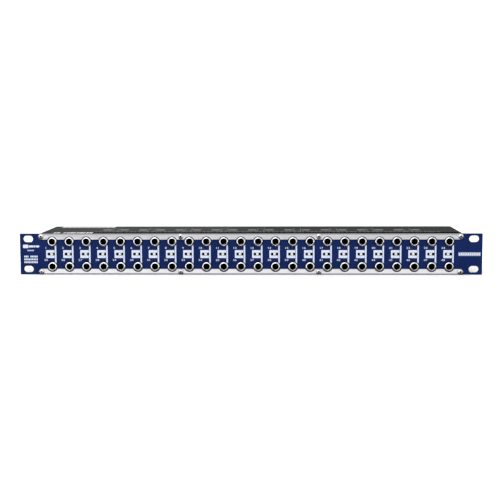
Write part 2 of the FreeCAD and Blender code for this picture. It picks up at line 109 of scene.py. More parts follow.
class Sock:
    """A number that comes out of a node, for use in Python arithmetic."""

    def __init__(self, graph: "Graph", socket: bpy.types.NodeSocket) -> None:
        """Wraps an output socket.

        Args:
            graph: the node tree that the socket belongs to.
            socket: the output to wrap.
        """
        self.graph = graph
        self.socket = socket

    def _math(self, operation: str, first: "Sock | float", second: "Sock | float") -> "Sock":
        """Adds a Math node and returns its result."""
        made = self.graph.node("ShaderNodeMath", {"operation": operation}, {0: first, 1: second})
        return Sock(self.graph, made.outputs[0])

    def __add__(self, other: "Sock | float") -> "Sock":
        """This number plus another."""
        return self._math("ADD", self, other)

    def __radd__(self, other: float) -> "Sock":
        """Another number plus this one."""
        return self._math("ADD", other, self)

    def __sub__(self, other: "Sock | float") -> "Sock":
        """This number less another."""
        return self._math("SUBTRACT", self, other)

    def __rsub__(self, other: float) -> "Sock":
        """Another number less this one."""
        return self._math("SUBTRACT", other, self)

    def __mul__(self, other: "Sock | float") -> "Sock":
        """This number times another."""
        return self._math("MULTIPLY", self, other)

    def __rmul__(self, other: float) -> "Sock":
        """Another number times this one."""
        return self._math("MULTIPLY", other, self)

    def __gt__(self, other: "Sock | float") -> "Sock":
        """1 where this number is above the other, and 0 elsewhere."""
        return self._math("GREATER_THAN", self, other)

    def clamped(self) -> "Sock":
        """This number held between 0 and 1."""
        made = self.graph.node("ShaderNodeClamp", {}, {0: self})
        return Sock(self.graph, made.outputs[0])


class Graph:
    """The node tree of one material, ending in a Principled shader."""

    def __init__(self, name: str) -> None:
        """Makes an empty material with its shader and output.

        Args:
            name: the material's name.
        """
        self.material = bpy.data.materials.new(name)
        self.material.use_nodes = True
        self.tree = self.material.node_tree
        self.tree.nodes.clear()
        self.shader = self.tree.nodes.new("ShaderNodeBsdfPrincipled")
        output = self.tree.nodes.new("ShaderNodeOutputMaterial")
        self.tree.links.new(self.shader.outputs[0], output.inputs[0])

    def feed(self, target: bpy.types.NodeSocket,
             value: "Sock | bpy.types.NodeSocket | float | Sequence[float]") -> None:
        """Links or sets one input.

        Args:
            target: the input socket.
            value: a wrapped or plain socket to link, or a number or colour to set.
        """
        if isinstance(value, Sock):
            self.tree.links.new(value.socket, target)
        elif isinstance(value, bpy.types.NodeSocket):
            self.tree.links.new(value, target)
        elif target.type == "RGBA":
            target.default_value = (*value, 1.0)
        else:
            target.default_value = value

    def node(self, kind: str, settings: dict, sockets: dict) -> bpy.types.Node:
        """Adds a node.

        Args:
            kind: the node's type.
            settings: its own properties, set first.
            sockets: values or links for its inputs, by name or by number.

        Returns:
            The new node.
        """
        made = self.tree.nodes.new(kind)
        for name, value in settings.items():
            setattr(made, name, value)
        for key, value in sockets.items():
            self.feed(made.inputs[key], value)
        return made

    def set(self, **values: "Sock | bpy.types.NodeSocket | float | Sequence[float]") -> None:
        """Feeds the shader's inputs, named with underscores for spaces."""
        for name, value in values.items():
            self.feed(self.shader.inputs[name.replace("_", " ")], value)

    def place(self, stretch: Sequence[float] = (1.0, 1.0, 1.0)) -> bpy.types.NodeSocket:
        """Object coordinates, in metres, stretched along each axis.

        Args:
            stretch: the factor for X, Y and Z; under 1 draws a pattern out along that axis.

        Returns:
            The vector output.
        """
        coordinates = self.node("ShaderNodeTexCoord", {}, {})
        mapping = self.node("ShaderNodeMapping", {}, {0: coordinates.outputs["Object"], "Scale": stretch})
        return mapping.outputs[0]

    def noise(self, place: bpy.types.NodeSocket, size: float, detail: float = 2.0) -> Sock:
        """Cloudy noise between 0 and 1.

        Args:
            place: the coordinates to read.
            size: the size of one feature, in metres.
            detail: how many finer layers it has.

        Returns:
            The noise value.
        """
        made = self.node("ShaderNodeTexNoise", {}, {"Vector": place, "Scale": 1.0 / size, "Detail": detail})
        return Sock(self, made.outputs[0])

    def ramp(self, value: Sock, low: float, high: float) -> Sock:
        """A number stretched so that low becomes 0 and high becomes 1, held between them."""
        made = self.node("ShaderNodeMapRange", {"clamp": True}, {0: value, 1: low, 2: high})
        return Sock(self, made.outputs[0])

    def mixed(self, factor: "Sock | float", first: "Colour | bpy.types.NodeSocket",
              second: "Colour | bpy.types.NodeSocket") -> bpy.types.NodeSocket:
        """A colour between two others.

        Args:
            factor: 0 for the first colour and 1 for the second.
            first: the first colour.
            second: the second colour.

        Returns:
            The colour output.
        """
        made = self.node("ShaderNodeMix", {"data_type": "RGBA"}, {0: factor, 6: first, 7: second})
        return made.outputs[2]

    def bump(self, height: Sock, depth: float) -> bpy.types.NodeSocket:
        """A normal from a height pattern.

        Args:
            height: the pattern, from 0 to 1.
            depth: its full height, in metres.

        Returns:
            The normal output.
        """
        made = self.node("ShaderNodeBump", {}, {"Height": height, "Distance": depth, "Strength": 1.0})
        return made.outputs[0]


def shade(colour: Colour, factor: float) -> Colour:
    """A colour made lighter or darker by a factor."""
    return (colour[0] * factor, colour[1] * factor, colour[2] * factor)


# ---------------------------------------------------------------------------------------------------
# Finishes
# ---------------------------------------------------------------------------------------------------

@dataclass(frozen=True)
class PowderCoat:
    """Baked powder paint: an even colour over fine orange peel, a little cloudy, with rubbed spots."""

    name: str
    colour: Colour
    roughness: float
    specular: float = 0.3
    peel_size: float = 0.7 * MM
    peel_depth: float = 0.012 * MM
    cloud: float = 0.1

    def build(self) -> bpy.types.Material:
        """Makes the material."""
        graph = Graph(self.name)
        place = graph.place()
        peel = graph.noise(place, self.peel_size, 3.0)
        clouds = graph.noise(place, 45 * MM, 2.0)
        rubbed = graph.ramp(graph.noise(graph.place((0.35, 1.0, 1.0)), 9 * MM, 5.0), 0.6, 0.8)
        colour = graph.mixed(clouds, shade(self.colour, 1 - self.cloud), shade(self.colour, 1 + self.cloud))
        graph.set(
            Base_Color=graph.mixed(peel * 0.12, colour, shade(self.colour, 1.6)),
            Roughness=self.roughness + (peel - 0.5) * 0.12 - rubbed * 0.08,
            Specular_IOR_Level=self.specular,
            Normal=graph.bump(peel, self.peel_depth),
        )
        return graph.material


@dataclass(frozen=True)
class BrushedMetal:
    """Metal brushed along X, under clear anodising."""

    name: str
    colour: Colour
    metallic: float
    roughness: float
    depth: float = 0.004 * MM

    def build(self) -> bpy.types.Material:
        """Makes the material."""
        graph = Graph(self.name)
        strokes = graph.noise(graph.place((0.02, 1.0, 1.0)), 0.16 * MM, 3.0)
        long_strokes = graph.noise(graph.place((0.008, 1.0, 1.0)), 0.5 * MM, 2.0)
        clouds = graph.noise(graph.place(), 30 * MM, 2.0)
        pattern = strokes * 0.6 + long_strokes * 0.4
        dark, light = shade(self.colour, 0.88), shade(self.colour, 1.08)
        graph.set(
            Base_Color=graph.mixed(pattern * 0.7 + clouds * 0.3, dark, light),
            Metallic=self.metallic,
            Roughness=self.roughness + (pattern - 0.5) * 0.16,
            Normal=graph.bump(pattern, self.depth),
        )
        return graph.material


@dataclass(frozen=True)
class PlatedMetal:
    """Bright plating, with faint polishing marks, handling haze and small pits."""

    name: str
    colour: Colour
    roughness: float
    haze: float = 0.12

    def build(self) -> bpy.types.Material:
        """Makes the material."""
        graph = Graph(self.name)
        place = graph.place()
        haze = graph.ramp(graph.noise(place, 4 * MM, 4.0), 0.4, 0.75)
        pits = graph.ramp(graph.noise(place, 0.22 * MM, 2.0), 0.68, 0.78)
        graph.set(
            Base_Color=graph.mixed(pits * 0.5 + haze * 0.2, self.colour, shade(self.colour, 0.62)),
            Metallic=1.0,
            Roughness=self.roughness + haze * self.haze + pits * 0.15,
            Normal=graph.bump(1.0 - pits, 0.004 * MM),
        )
        return graph.material


@dataclass(frozen=True)
class ScreenInk:
    """Screen-printed ink: slightly uneven cover, with a faint mesh grain."""

    name: str
    colour: Colour
    roughness: float = 0.5

    def build(self) -> bpy.types.Material:
        """Makes the material."""
        graph = Graph(self.name)
        place = graph.place()
        cover = graph.noise(place, 0.35 * MM, 4.0)
        clouds = graph.noise(place, 6 * MM, 2.0)
        thin, full = shade(self.colour, 0.86), shade(self.colour, 1.06)
        graph.set(
            Base_Color=graph.mixed(cover * 0.6 + clouds * 0.4, thin, full),
            Roughness=self.roughness + (cover - 0.5) * 0.15,
            Specular_IOR_Level=0.35,
            Normal=graph.bump(cover, 0.006 * MM),
        )
        return graph.material


@dataclass(frozen=True)
class MouldedPlastic:
    """Moulded plastic with a fine spark-eroded texture and slight shade changes."""

    name: str
    colour: Colour
    roughness: float
    specular: float = 0.4
    texture_depth: float = 0.006 * MM

    def build(self) -> bpy.types.Material:
        """Makes the material."""
        graph = Graph(self.name)
        place = graph.place()
        texture = graph.noise(place, 0.12 * MM, 2.0)
        flow = graph.noise(graph.place((1.0, 0.4, 1.0)), 3 * MM, 3.0)
        graph.set(
            Base_Color=graph.mixed(flow, shade(self.colour, 0.9), shade(self.colour, 1.08)),
            Roughness=self.roughness + (texture - 0.5) * 0.12,
            Specular_IOR_Level=self.specular,
            Normal=graph.bump(texture, self.texture_depth),
        )
        return graph.material


@dataclass(frozen=True)
class SolderMask:
    """A circuit board's green mask with copper tracks showing through as lighter lines."""

    name: str
    colour: Colour
    track: Colour
    pitch: float = 4.5 * MM

    def build(self) -> bpy.types.Material:
        """Makes the material."""
        graph = Graph(self.name)
        place = graph.place()
        wave = graph.node(
            "ShaderNodeTexWave",
            {"wave_type": "BANDS", "bands_direction": "X"},
            {"Vector": place, "Scale": 0.31 / self.pitch, "Distortion": 0.0},
        )
        tracks = graph.ramp(Sock(graph, wave.outputs[1]), 0.55, 0.62)
        weave = graph.noise(place, 0.5 * MM, 2.0)
        graph.set(
            Base_Color=graph.mixed(tracks, shade(self.colour, 0.9), self.track),
            Roughness=0.32 + weave * 0.1,
            Normal=graph.bump(tracks * 0.8 + weave * 0.2, 0.03 * MM),
        )
        return graph.material


PANEL_PAINT = PowderCoat("blue_panel_paint", (0.0026, 0.0125, 0.078), 0.42, specular=0.08)
COVER_PAINT = PowderCoat("cover_paint", (0.02, 0.02, 0.0205), 0.5, specular=0.08, peel_size=0.9 * MM,
                         peel_depth=0.03 * MM, cloud=0.06)
TRAY_PAINT = PowderCoat("tray_paint", (0.03, 0.03, 0.032), 0.55, specular=0.25, peel_size=0.9 * MM,
                        peel_depth=0.03 * MM, cloud=0.06)
TRIM_METAL = BrushedMetal("trim_metal", (0.67, 0.68, 0.71), 0.35, 0.4)
# Darker brushed metal on the strips' faces that look up or down: painted shade.
TRIM_PAINTED_SHADE = BrushedMetal("trim_edge", (0.29, 0.29, 0.3), 0.35, 0.45)
BUSHING_NICKEL = PlatedMetal("bushing_nickel", (0.9, 0.9, 0.9), 0.1)
SCREW_PLATE = PlatedMetal("screw_plate", (0.72, 0.72, 0.72), 0.24)
BLACK_OXIDE = PlatedMetal("black_oxide", (0.03, 0.03, 0.032), 0.4)
ZINC_PLATE = PlatedMetal("zinc_plate", (0.66, 0.64, 0.55), 0.3)
CONTACT_BRASS = PlatedMetal("contact_brass", (0.74, 0.55, 0.26), 0.28)
# Near-black plating on the switch shells, seen through the windows: painted shade.
SHELL_PAINTED_SHADE = PlatedMetal("shell_tin", (0.012, 0.012, 0.012), 0.4)
WHITE_INK = ScreenInk("white_ink", (0.6, 0.65, 0.78))
GREY_INK = ScreenInk("grey_ink", (0.16, 0.16, 0.16))
FAINT_INK = ScreenInk("faint_ink", (0.13, 0.13, 0.13))
PALE_INK = ScreenInk("pale_ink", (0.62, 0.62, 0.63))
LABEL_PAPER = ScreenInk("label_paper", (0.5, 0.5, 0.5), 0.6)
# Near-black sheet laid along the cover's front edge: painted shade.
SHADE_STRIP_BLACK = MouldedPlastic("foam_black", (0.003, 0.003, 0.003), 0.9, 0.0, 0.02 * MM)
LEVER_IVORY = MouldedPlastic("lever_ivory", (0.72, 0.72, 0.68), 0.36)
# Near-black on the levers' carriers, seen only in the windows' recess: painted shade.
CARRIER_PAINTED_SHADE = MouldedPlastic("carrier_black", (0.003, 0.003, 0.003), 0.6, 0.05)
HOUSING_BLACK = MouldedPlastic("housing_black", (0.01, 0.01, 0.01), 0.5, 0.3)
# Near-black on the nickel bushings' bore and the inner half of their mouth rounding: painted shade.
BORE_PAINTED_SHADE = MouldedPlastic("bore_liner", (0.003, 0.003, 0.003), 0.5, 0.1)
RECESS_SHADOW = MouldedPlastic("recess_shadow", (0.003, 0.003, 0.003), 0.7, 0.05)
BASE_PHENOLIC = MouldedPlastic("base_phenolic", (0.2, 0.09, 0.035), 0.5)
BOARD_MASK = SolderMask("board_mask", (0.012, 0.09, 0.035), (0.03, 0.2, 0.07))

FINISHES = (
    PANEL_PAINT, COVER_PAINT, TRAY_PAINT, TRIM_METAL, TRIM_PAINTED_SHADE, BUSHING_NICKEL, SCREW_PLATE, BLACK_OXIDE,
    ZINC_PLATE, CONTACT_BRASS, SHELL_PAINTED_SHADE, WHITE_INK, GREY_INK, FAINT_INK, PALE_INK, LABEL_PAPER, SHADE_STRIP_BLACK,
    LEVER_IVORY, CARRIER_PAINTED_SHADE, HOUSING_BLACK, BORE_PAINTED_SHADE, RECESS_SHADOW, BASE_PHENOLIC, BOARD_MASK,
)


# ---------------------------------------------------------------------------------------------------
# Modelling by hand
# ---------------------------------------------------------------------------------------------------

def take(*pieces: bpy.types.Object) -> None:
    """Selects only these pieces and makes the first one active."""
    bpy.ops.object.select_all(action="DESELECT")
    for piece in pieces:
        piece.select_set(True)
    bpy.context.view_layer.objects.active = pieces[0]


@contextmanager
def editing(piece: bpy.types.Object, mode: str = "VERT") -> Iterator[None]:
    """Edit mode on one piece, with nothing selected at first.

    Args:
        piece: the piece to edit.
        mode: VERT, EDGE or FACE selection.
    """
    take(piece)
    bpy.ops.object.mode_set(mode="EDIT")
    bpy.ops.mesh.select_mode(type=mode)
    bpy.ops.mesh.select_all(action="DESELECT")
    yield
    bpy.ops.object.mode_set(mode="OBJECT")


def pick_edges(piece: bpy.types.Object, test: Callable[[Vector, Vector], bool]) -> None:
    """Selects, in edit mode, the edges whose two ends pass a test."""
    mesh = bmesh.from_edit_mesh(piece.data)
    for edge in mesh.edges:
        edge.select = test(edge.verts[0].co, edge.verts[1].co)
    mesh.select_flush_mode()
    bmesh.update_edit_mesh(piece.data)


def pick_faces(piece: bpy.types.Object, test: Callable[[Vector, Vector], bool]) -> None:
    """Selects, in edit mode, the faces whose centre and normal pass a test."""
    mesh = bmesh.from_edit_mesh(piece.data)
    for face in mesh.faces:
        face.select_set(test(face.calc_center_median(), face.normal))
    mesh.select_flush_mode()
    bmesh.update_edit_mesh(piece.data)


def bar(name: str, low: Sequence[float], high: Sequence[float]) -> bpy.types.Object:
    """A rectangular blank between two corners, to be shaped further.

    Args:
        name: the piece's name.
        low: its lowest corner.
        high: its highest corner.

    Returns:
        The new piece.
    """
    bpy.ops.object.select_all(action="DESELECT")
    middle = [(a + b) / 2 for a, b in zip(low, high)]
    size = [b - a for a, b in zip(low, high)]
    bpy.ops.mesh.primitive_cube_add(size=1.0, location=middle, scale=size)
    piece = bpy.context.active_object
    piece.name = name
    settle(piece)
    return piece


def round_bar(name: str, radius: float, start: Sequence[float], end: Sequence[float],
              sides: int = 64) -> bpy.types.Object:
    """A round blank between two points.

    Args:
        name: the piece's name.
        radius: its radius.
        start: the centre of one end.
        end: the centre of the other end.
        sides: how many sides it is made of.

    Returns:
        The new piece.
    """
    bpy.ops.object.select_all(action="DESELECT")
    run = Vector(end) - Vector(start)
    bpy.ops.mesh.primitive_cylinder_add(
        vertices=sides, radius=radius, depth=run.length, location=(Vector(start) + Vector(end)) / 2,
        rotation=run.to_track_quat("Z", "Y").to_euler(),
    )
    piece = bpy.context.active_object
    piece.name = name
    settle(piece)
    return piece


def settle(piece: bpy.types.Object) -> None:
    """Puts a piece's place, turn and scale into its mesh."""
    take(piece)
    bpy.ops.object.transform_apply(location=True, rotation=True, scale=True)


def round_edges(piece: bpy.types.Object, radius: float, steps: int,
                test: Callable[[Vector, Vector], bool]) -> None:
    """Bevels the edges that pass a test.

    Args:
        piece: the piece to shape.
        radius: the bevel's width.
        steps: how many faces the bevel has; 1 makes a flat chamfer.
        test: says yes to an edge, given its two ends.
    """
    with editing(piece, "EDGE"):
        pick_edges(piece, test)
        bpy.ops.mesh.bevel(offset=radius, segments=steps, affect="EDGES", clamp_overlap=False)


def turned(name: str, profile: Sequence[Point], steps: int = 48) -> bpy.types.Object:
    """A piece turned about the Y axis, as on a lathe.

    Args:
        name: the piece's name.
        profile: its outline as (radius, y) points. It ends where it starts, or starts and ends on the axis.
        steps: how many steps make the full turn.

    Returns:
        The new piece.
    """
    bpy.ops.object.select_all(action="DESELECT")
    bpy.ops.mesh.primitive_plane_add(size=MM)
    piece = bpy.context.active_object
    piece.name = name
    with editing(piece):
        bpy.ops.mesh.select_all(action="SELECT")
        bpy.ops.mesh.merge(type="CENTER")
        bpy.ops.transform.translate(value=(profile[0][0], profile[0][1], 0))
        for here, there in zip(profile, profile[1:]):
            step = (there[0] - here[0], there[1] - here[1], 0)
            bpy.ops.mesh.extrude_vertices_move(TRANSFORM_OT_translate={"value": step})
        bpy.ops.mesh.select_all(action="SELECT")
        bpy.ops.mesh.spin(steps=steps, angle=math.tau, center=(0, 0, 0), axis=(0, 1, 0))
        bpy.ops.mesh.select_all(action="SELECT")
        bpy.ops.mesh.remove_doubles(threshold=0.0005 * MM)
        bpy.ops.mesh.normals_make_consistent(inside=False)
    return piece


def arc(centre: Point, radius: float, start: float, end: float, steps: int) -> list[Point]:
    """Points along a circular arc.

    Args:
        centre: the arc's centre.
        radius: its radius.
        start: its first angle in degrees.
        end: its last angle in degrees.
        steps: how many steps it is drawn in.

    Returns:
        The points, ends included.
    """
    angles = [math.radians(start + (end - start) * i / steps) for i in range(steps + 1)]
    return [(centre[0] + radius * math.cos(a), centre[1] + radius * math.sin(a)) for a in angles]


def modify(piece: bpy.types.Object, kind: str, **settings: object) -> None:
    """Adds a modifier, sets it and applies it."""
    take(piece)
    bpy.ops.object.modifier_add(type=kind)
    modifier = piece.modifiers[-1]
    for name, value in settings.items():
        setattr(modifier, name, value)
    bpy.ops.object.modifier_apply(modifier=modifier.name)


def joined(name: str, pieces: Sequence[bpy.types.Object]) -> bpy.types.Object:
    """Several pieces as one piece."""
    take(*pieces)
    if len(pieces) > 1:
        bpy.ops.object.join()
    pieces[0].name = name
    return pieces[0]


def cut_out(piece: bpy.types.Object, cutters: Sequence[bpy.types.Object]) -> None:
    """Cuts the cutters' shapes out of a piece and removes the cutters."""
    tool = joined("cutter", cutters)
    modify(piece, "BOOLEAN", operation="DIFFERENCE", solver="EXACT", object=tool)
    bpy.data.objects.remove(tool)


def soften(piece: bpy.types.Object, width: float, steps: int = 2, angle: float = 35.0) -> None:
    """Takes the sharpness off a piece's edges and smooths its curved faces.

    Args:
        piece: the piece to finish.
        width: the width of the broken edge.
        steps: how many faces it has.
        angle: the least angle between two faces that makes an edge, in degrees.
    """
    modify(piece, "BEVEL", width=width, segments=steps, limit_method="ANGLE", angle_limit=math.radians(angle),
           harden_normals=False, miter_outer="MITER_ARC")
    smooth(piece)


def smooth(piece: bpy.types.Object, angle: float = 32.0) -> None:
    """Smooth shading across edges flatter than an angle in degrees."""
    take(piece)
    bpy.ops.object.shade_smooth_by_angle(angle=math.radians(angle))


def copies(name: str, master: bpy.types.Object, shifts: Sequence[Vector]) -> bpy.types.Object:
    """One piece that holds a copy of the master at each shift; the master is used up.

    Args:
        name: the new piece's name.
        master: the piece to repeat.
        shifts: where each copy goes, from the master's own place.

    Returns:
        The joined copies.
    """
    made = []
    for shift in shifts:
        copy = duplicate(master)
        copy.data.transform(Matrix.Translation(shift))
        made.append(copy)
    bpy.data.objects.remove(master)
    return joined(name, made)


def duplicate(master: bpy.types.Object) -> bpy.types.Object:
    """A copy of a piece with its own mesh."""
    copy = master.copy()
    copy.data = master.data.copy()
    bpy.context.scene.collection.objects.link(copy)
    return copy


def written(name: str, words: str, size: float, thickness: float) -> bpy.types.Object:
    """A number as a thin raised mesh, facing -Y, centred on the origin with its back at Y = 0.

    Args:
        name: the piece's name.
        words: the digits to write.
        size: the text size.
        thickness: how far it stands out.

    Returns:
        The new piece.
    """
    bpy.ops.object.select_all(action="DESELECT")
    bpy.ops.object.text_add(rotation=(math.pi / 2, 0, 0))
    piece = bpy.context.active_object
    piece.name = name
    piece.data.body = words
    piece.data.size = size
    piece.data.align_x = "CENTER"
    piece.data.align_y = "CENTER"
    piece.data.extrude = thickness / 2
    piece.data.offset = size * 0.012
    piece.data.resolution_u = 3
    take(piece)
    bpy.ops.object.convert(target="MESH")
    piece = bpy.context.active_object
    settle(piece)
    with editing(piece):
        bpy.ops.mesh.select_all(action="SELECT")
        bpy.ops.mesh.remove_doubles(threshold=0.001 * MM)
    piece.data.transform(Matrix.Translation((0, -thickness / 2, 0)))
    return piece


def paint(piece: bpy.types.Object, *materials: bpy.types.Material) -> None:
    """Gives a piece these materials, in slot order, and keeps the slot that each face has."""
    slots = [min(face.material_index, len(materials) - 1) for face in piece.data.polygons]
    piece.data.materials.clear()
    for material in materials:
        piece.data.materials.append(material)
    piece.data.polygons.foreach_set("material_index", slots)


# ---------------------------------------------------------------------------------------------------
# Places read from the frame
# ---------------------------------------------------------------------------------------------------

@dataclass
class Layout:
    """Where everything is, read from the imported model."""

    record: dict
    columns: list[float] = field(init=False)
    row: float = field(init=False)
    pitch: float = field(init=False)
    bore: float = field(init=False)

    def __post_init__(self) -> None:
        """Reads the sockets' places and size from the record's mounts."""
        fronts = [m for m in self.record["mounts"] if m["name"].startswith("front_socket_")]
        self.columns = sorted({m["pos_m"][0] for m in fronts})
        self.row = max(m["pos_m"][2] for m in fronts)
        self.pitch = self.columns[1] - self.columns[0]
        self.bore = fronts[0]["dims"]["r_mm"] * MM

    def mount(self, name: str) -> dict:
        """One mount of the record, by name."""
        return next(m for m in self.record["mounts"] if m["name"] == name)

    @property
    def screw_columns(self) -> list[float]:
        """X of the front screws: the strips' round ends, and four channels either side of the middle."""
        low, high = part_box("upper_trim_strip")
        end = high.x - (high.z - low.z) / 2
        return [-end, -4 * self.pitch, 4 * self.pitch, end]

    def screw_row(self, level: Level) -> float:
        """Z of a row of front screws: the middle of its strip."""
        low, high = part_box(f"{level.word}_trim_strip")
        return (low.z + high.z) / 2

    @property
    def switch_columns(self) -> list[float]:
        """X of each mode switch."""
        middles = []
        for number in range(1, len(self.columns) + 1):
            low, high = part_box(f"mode_switch_lever_{number:02d}")
            middles.append((low.x + high.x) / 2)
        return middles


@dataclass
class Assembly:
    """A group of pieces that share the layout and the finishes."""

    layout: Layout
    finishes: dict[str, bpy.types.Material]

    def place(self, piece: bpy.types.Object, slot: str, materials: Sequence[str], body: str = CHASSIS,
              stands_for: Sequence[str] = ()) -> bpy.types.Object:
        """Dresses a piece, hangs it on its body and says which nodes it stands for.

        Args:
            piece: the finished piece.
            slot: the record's material slot; not used.
            materials: names of its materials, in slot order.
            body: the body that it moves with.
            stands_for: the nodes that it replaces.

        Returns:
            The same piece.
        """
        paint(piece, *[self.finishes[name] for name in materials])
        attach(piece, body)
        if stands_for:
            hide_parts(*stands_for)
        log.info("%s: %d faces on %s", piece.name, len(piece.data.polygons), body)
        return piece


# ---------------------------------------------------------------------------------------------------
# Sub-assemblies
# ---------------------------------------------------------------------------------------------------

def along_y(a: Vector, b: Vector) -> bool:
    """Says whether an edge runs along Y."""
    return abs(a.x - b.x) < 0.01 * MM and abs(a.z - b.z) < 0.01 * MM


@dataclass
class FrontPanel(Assembly):
    """The blue rack panel and the two bright strips on its face."""

    corner: float = 0.8 * MM
    socket_hole: float = 5.55 * MM
    screw_hole: float = 1.7 * MM
    window: Point = (7.4 * MM, 2.7 * MM)
    window_corner: float = 0.3 * MM
    broken_edge: float = 0.12 * MM
    chamfer: float = 1.3 * MM

    def build(self) -> None:
        """Makes the panel and both strips."""
        self.panel()
        for level in Level:
            self.strip(level)

    def bored(self, name: str, x: float, z: float, radius: float, sides: int) -> bpy.types.Object:
        """A cutter right through the panel and the strips."""
        return round_bar(name, radius, (x, AHEAD, z), (x, BEHIND, z), sides)

    def panel(self) -> bpy.types.Object:
        """The plate, cut for sockets, switches, screws and rack slots."""
        low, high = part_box("front_panel")
        plate = bar("panel_plate", low, high)
        round_edges(plate, self.corner, 5, along_y)
        cutters = []
        for level in Level:
            z = level.value * self.layout.row
            cutters += [self.bored("hole", x, z, self.socket_hole, 64) for x in self.layout.columns]
            z = self.layout.screw_row(level)
            cutters += [self.bored("hole", x, z, self.screw_hole, 24) for x in self.layout.screw_columns]
        cutters += [self.window_cutter(x) for x in self.layout.switch_columns]
        cutters += self.slot_cutters()
        cut_out(plate, cutters)
        soften(plate, self.broken_edge)
        return self.place(plate, "blue_panel_paint", ["blue_panel_paint"], stands_for=["front_panel"])

    def window_cutter(self, x: float) -> bpy.types.Object:
        """The cutter of one mode switch's window."""
        width, height = self.window
        cutter = bar("hole", (x - width / 2, AHEAD, -height / 2), (x + width / 2, BEHIND, height / 2))
        round_edges(cutter, self.window_corner, 3, along_y)
        return cutter

    def slot_cutters(self) -> list[bpy.types.Object]:
        """The cutters of the four rack slots, with round ends."""
        dims = self.layout.mount("rack_slots")["dims"]
        half_length, half_width = dims["slot_length_mm"] * MM / 2, dims["hole_r_mm"] * MM
        made = []
        for side_x in (-1, 1):
            for side_z in (-1, 1):
                x, z = side_x * dims["spacing_x_mm"] * MM / 2, side_z * dims["spacing_y_mm"] * MM / 2
                cutter = bar("hole", (x - half_length, AHEAD, z - half_width),
                             (x + half_length, BEHIND, z + half_width))
                round_edges(cutter, half_width * 0.995, 12, along_y)
                made.append(cutter)
        return made

    def strip(self, level: Level) -> bpy.types.Object:
        """One bright strip: round ends, a chamfered outer edge, and a scallop at each socket; its faces that look
        up or down carry a darker metal as painted shade.
        """
        low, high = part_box(f"{level.word}_trim_strip")
        piece = bar(f"{level.word}_strip", low, high)
        round_edges(piece, (high.z - low.z) / 2 * 0.998, 16, along_y)
        outer = high.z if level is Level.UPPER else low.z
        with editing(piece, "FACE"):
            bpy.ops.mesh.select_all(action="SELECT")
            bpy.ops.mesh.bisect(
                plane_co=(0, low.y + self.chamfer, outer), plane_no=(0, -1, level.value),
                use_fill=True, clear_outer=True,
            )
        z = level.value * self.layout.row
        cutters = [self.bored("hole", x, z, self.socket_hole, 96) for x in self.layout.columns]
        z = self.layout.screw_row(level)
        cutters += [self.bored("hole", x, z, self.screw_hole, 24) for x in self.layout.screw_columns]
        cut_out(piece, cutters)
        soften(piece, self.broken_edge)
        # Faces that look up or down (top, bottom, chamfer, and the up- and down-facing walls of holes and round
        # ends) take the darker metal: painted shade.
        for face in piece.data.polygons:
            face.material_index = int(abs(face.normal.z) > 0.45 and face.center.y < high.y - 0.1 * MM)
        node = f"{level.word}_trim_strip"
        return self.place(piece, "trim_metal", ["trim_metal", "trim_edge"], stands_for=[node])


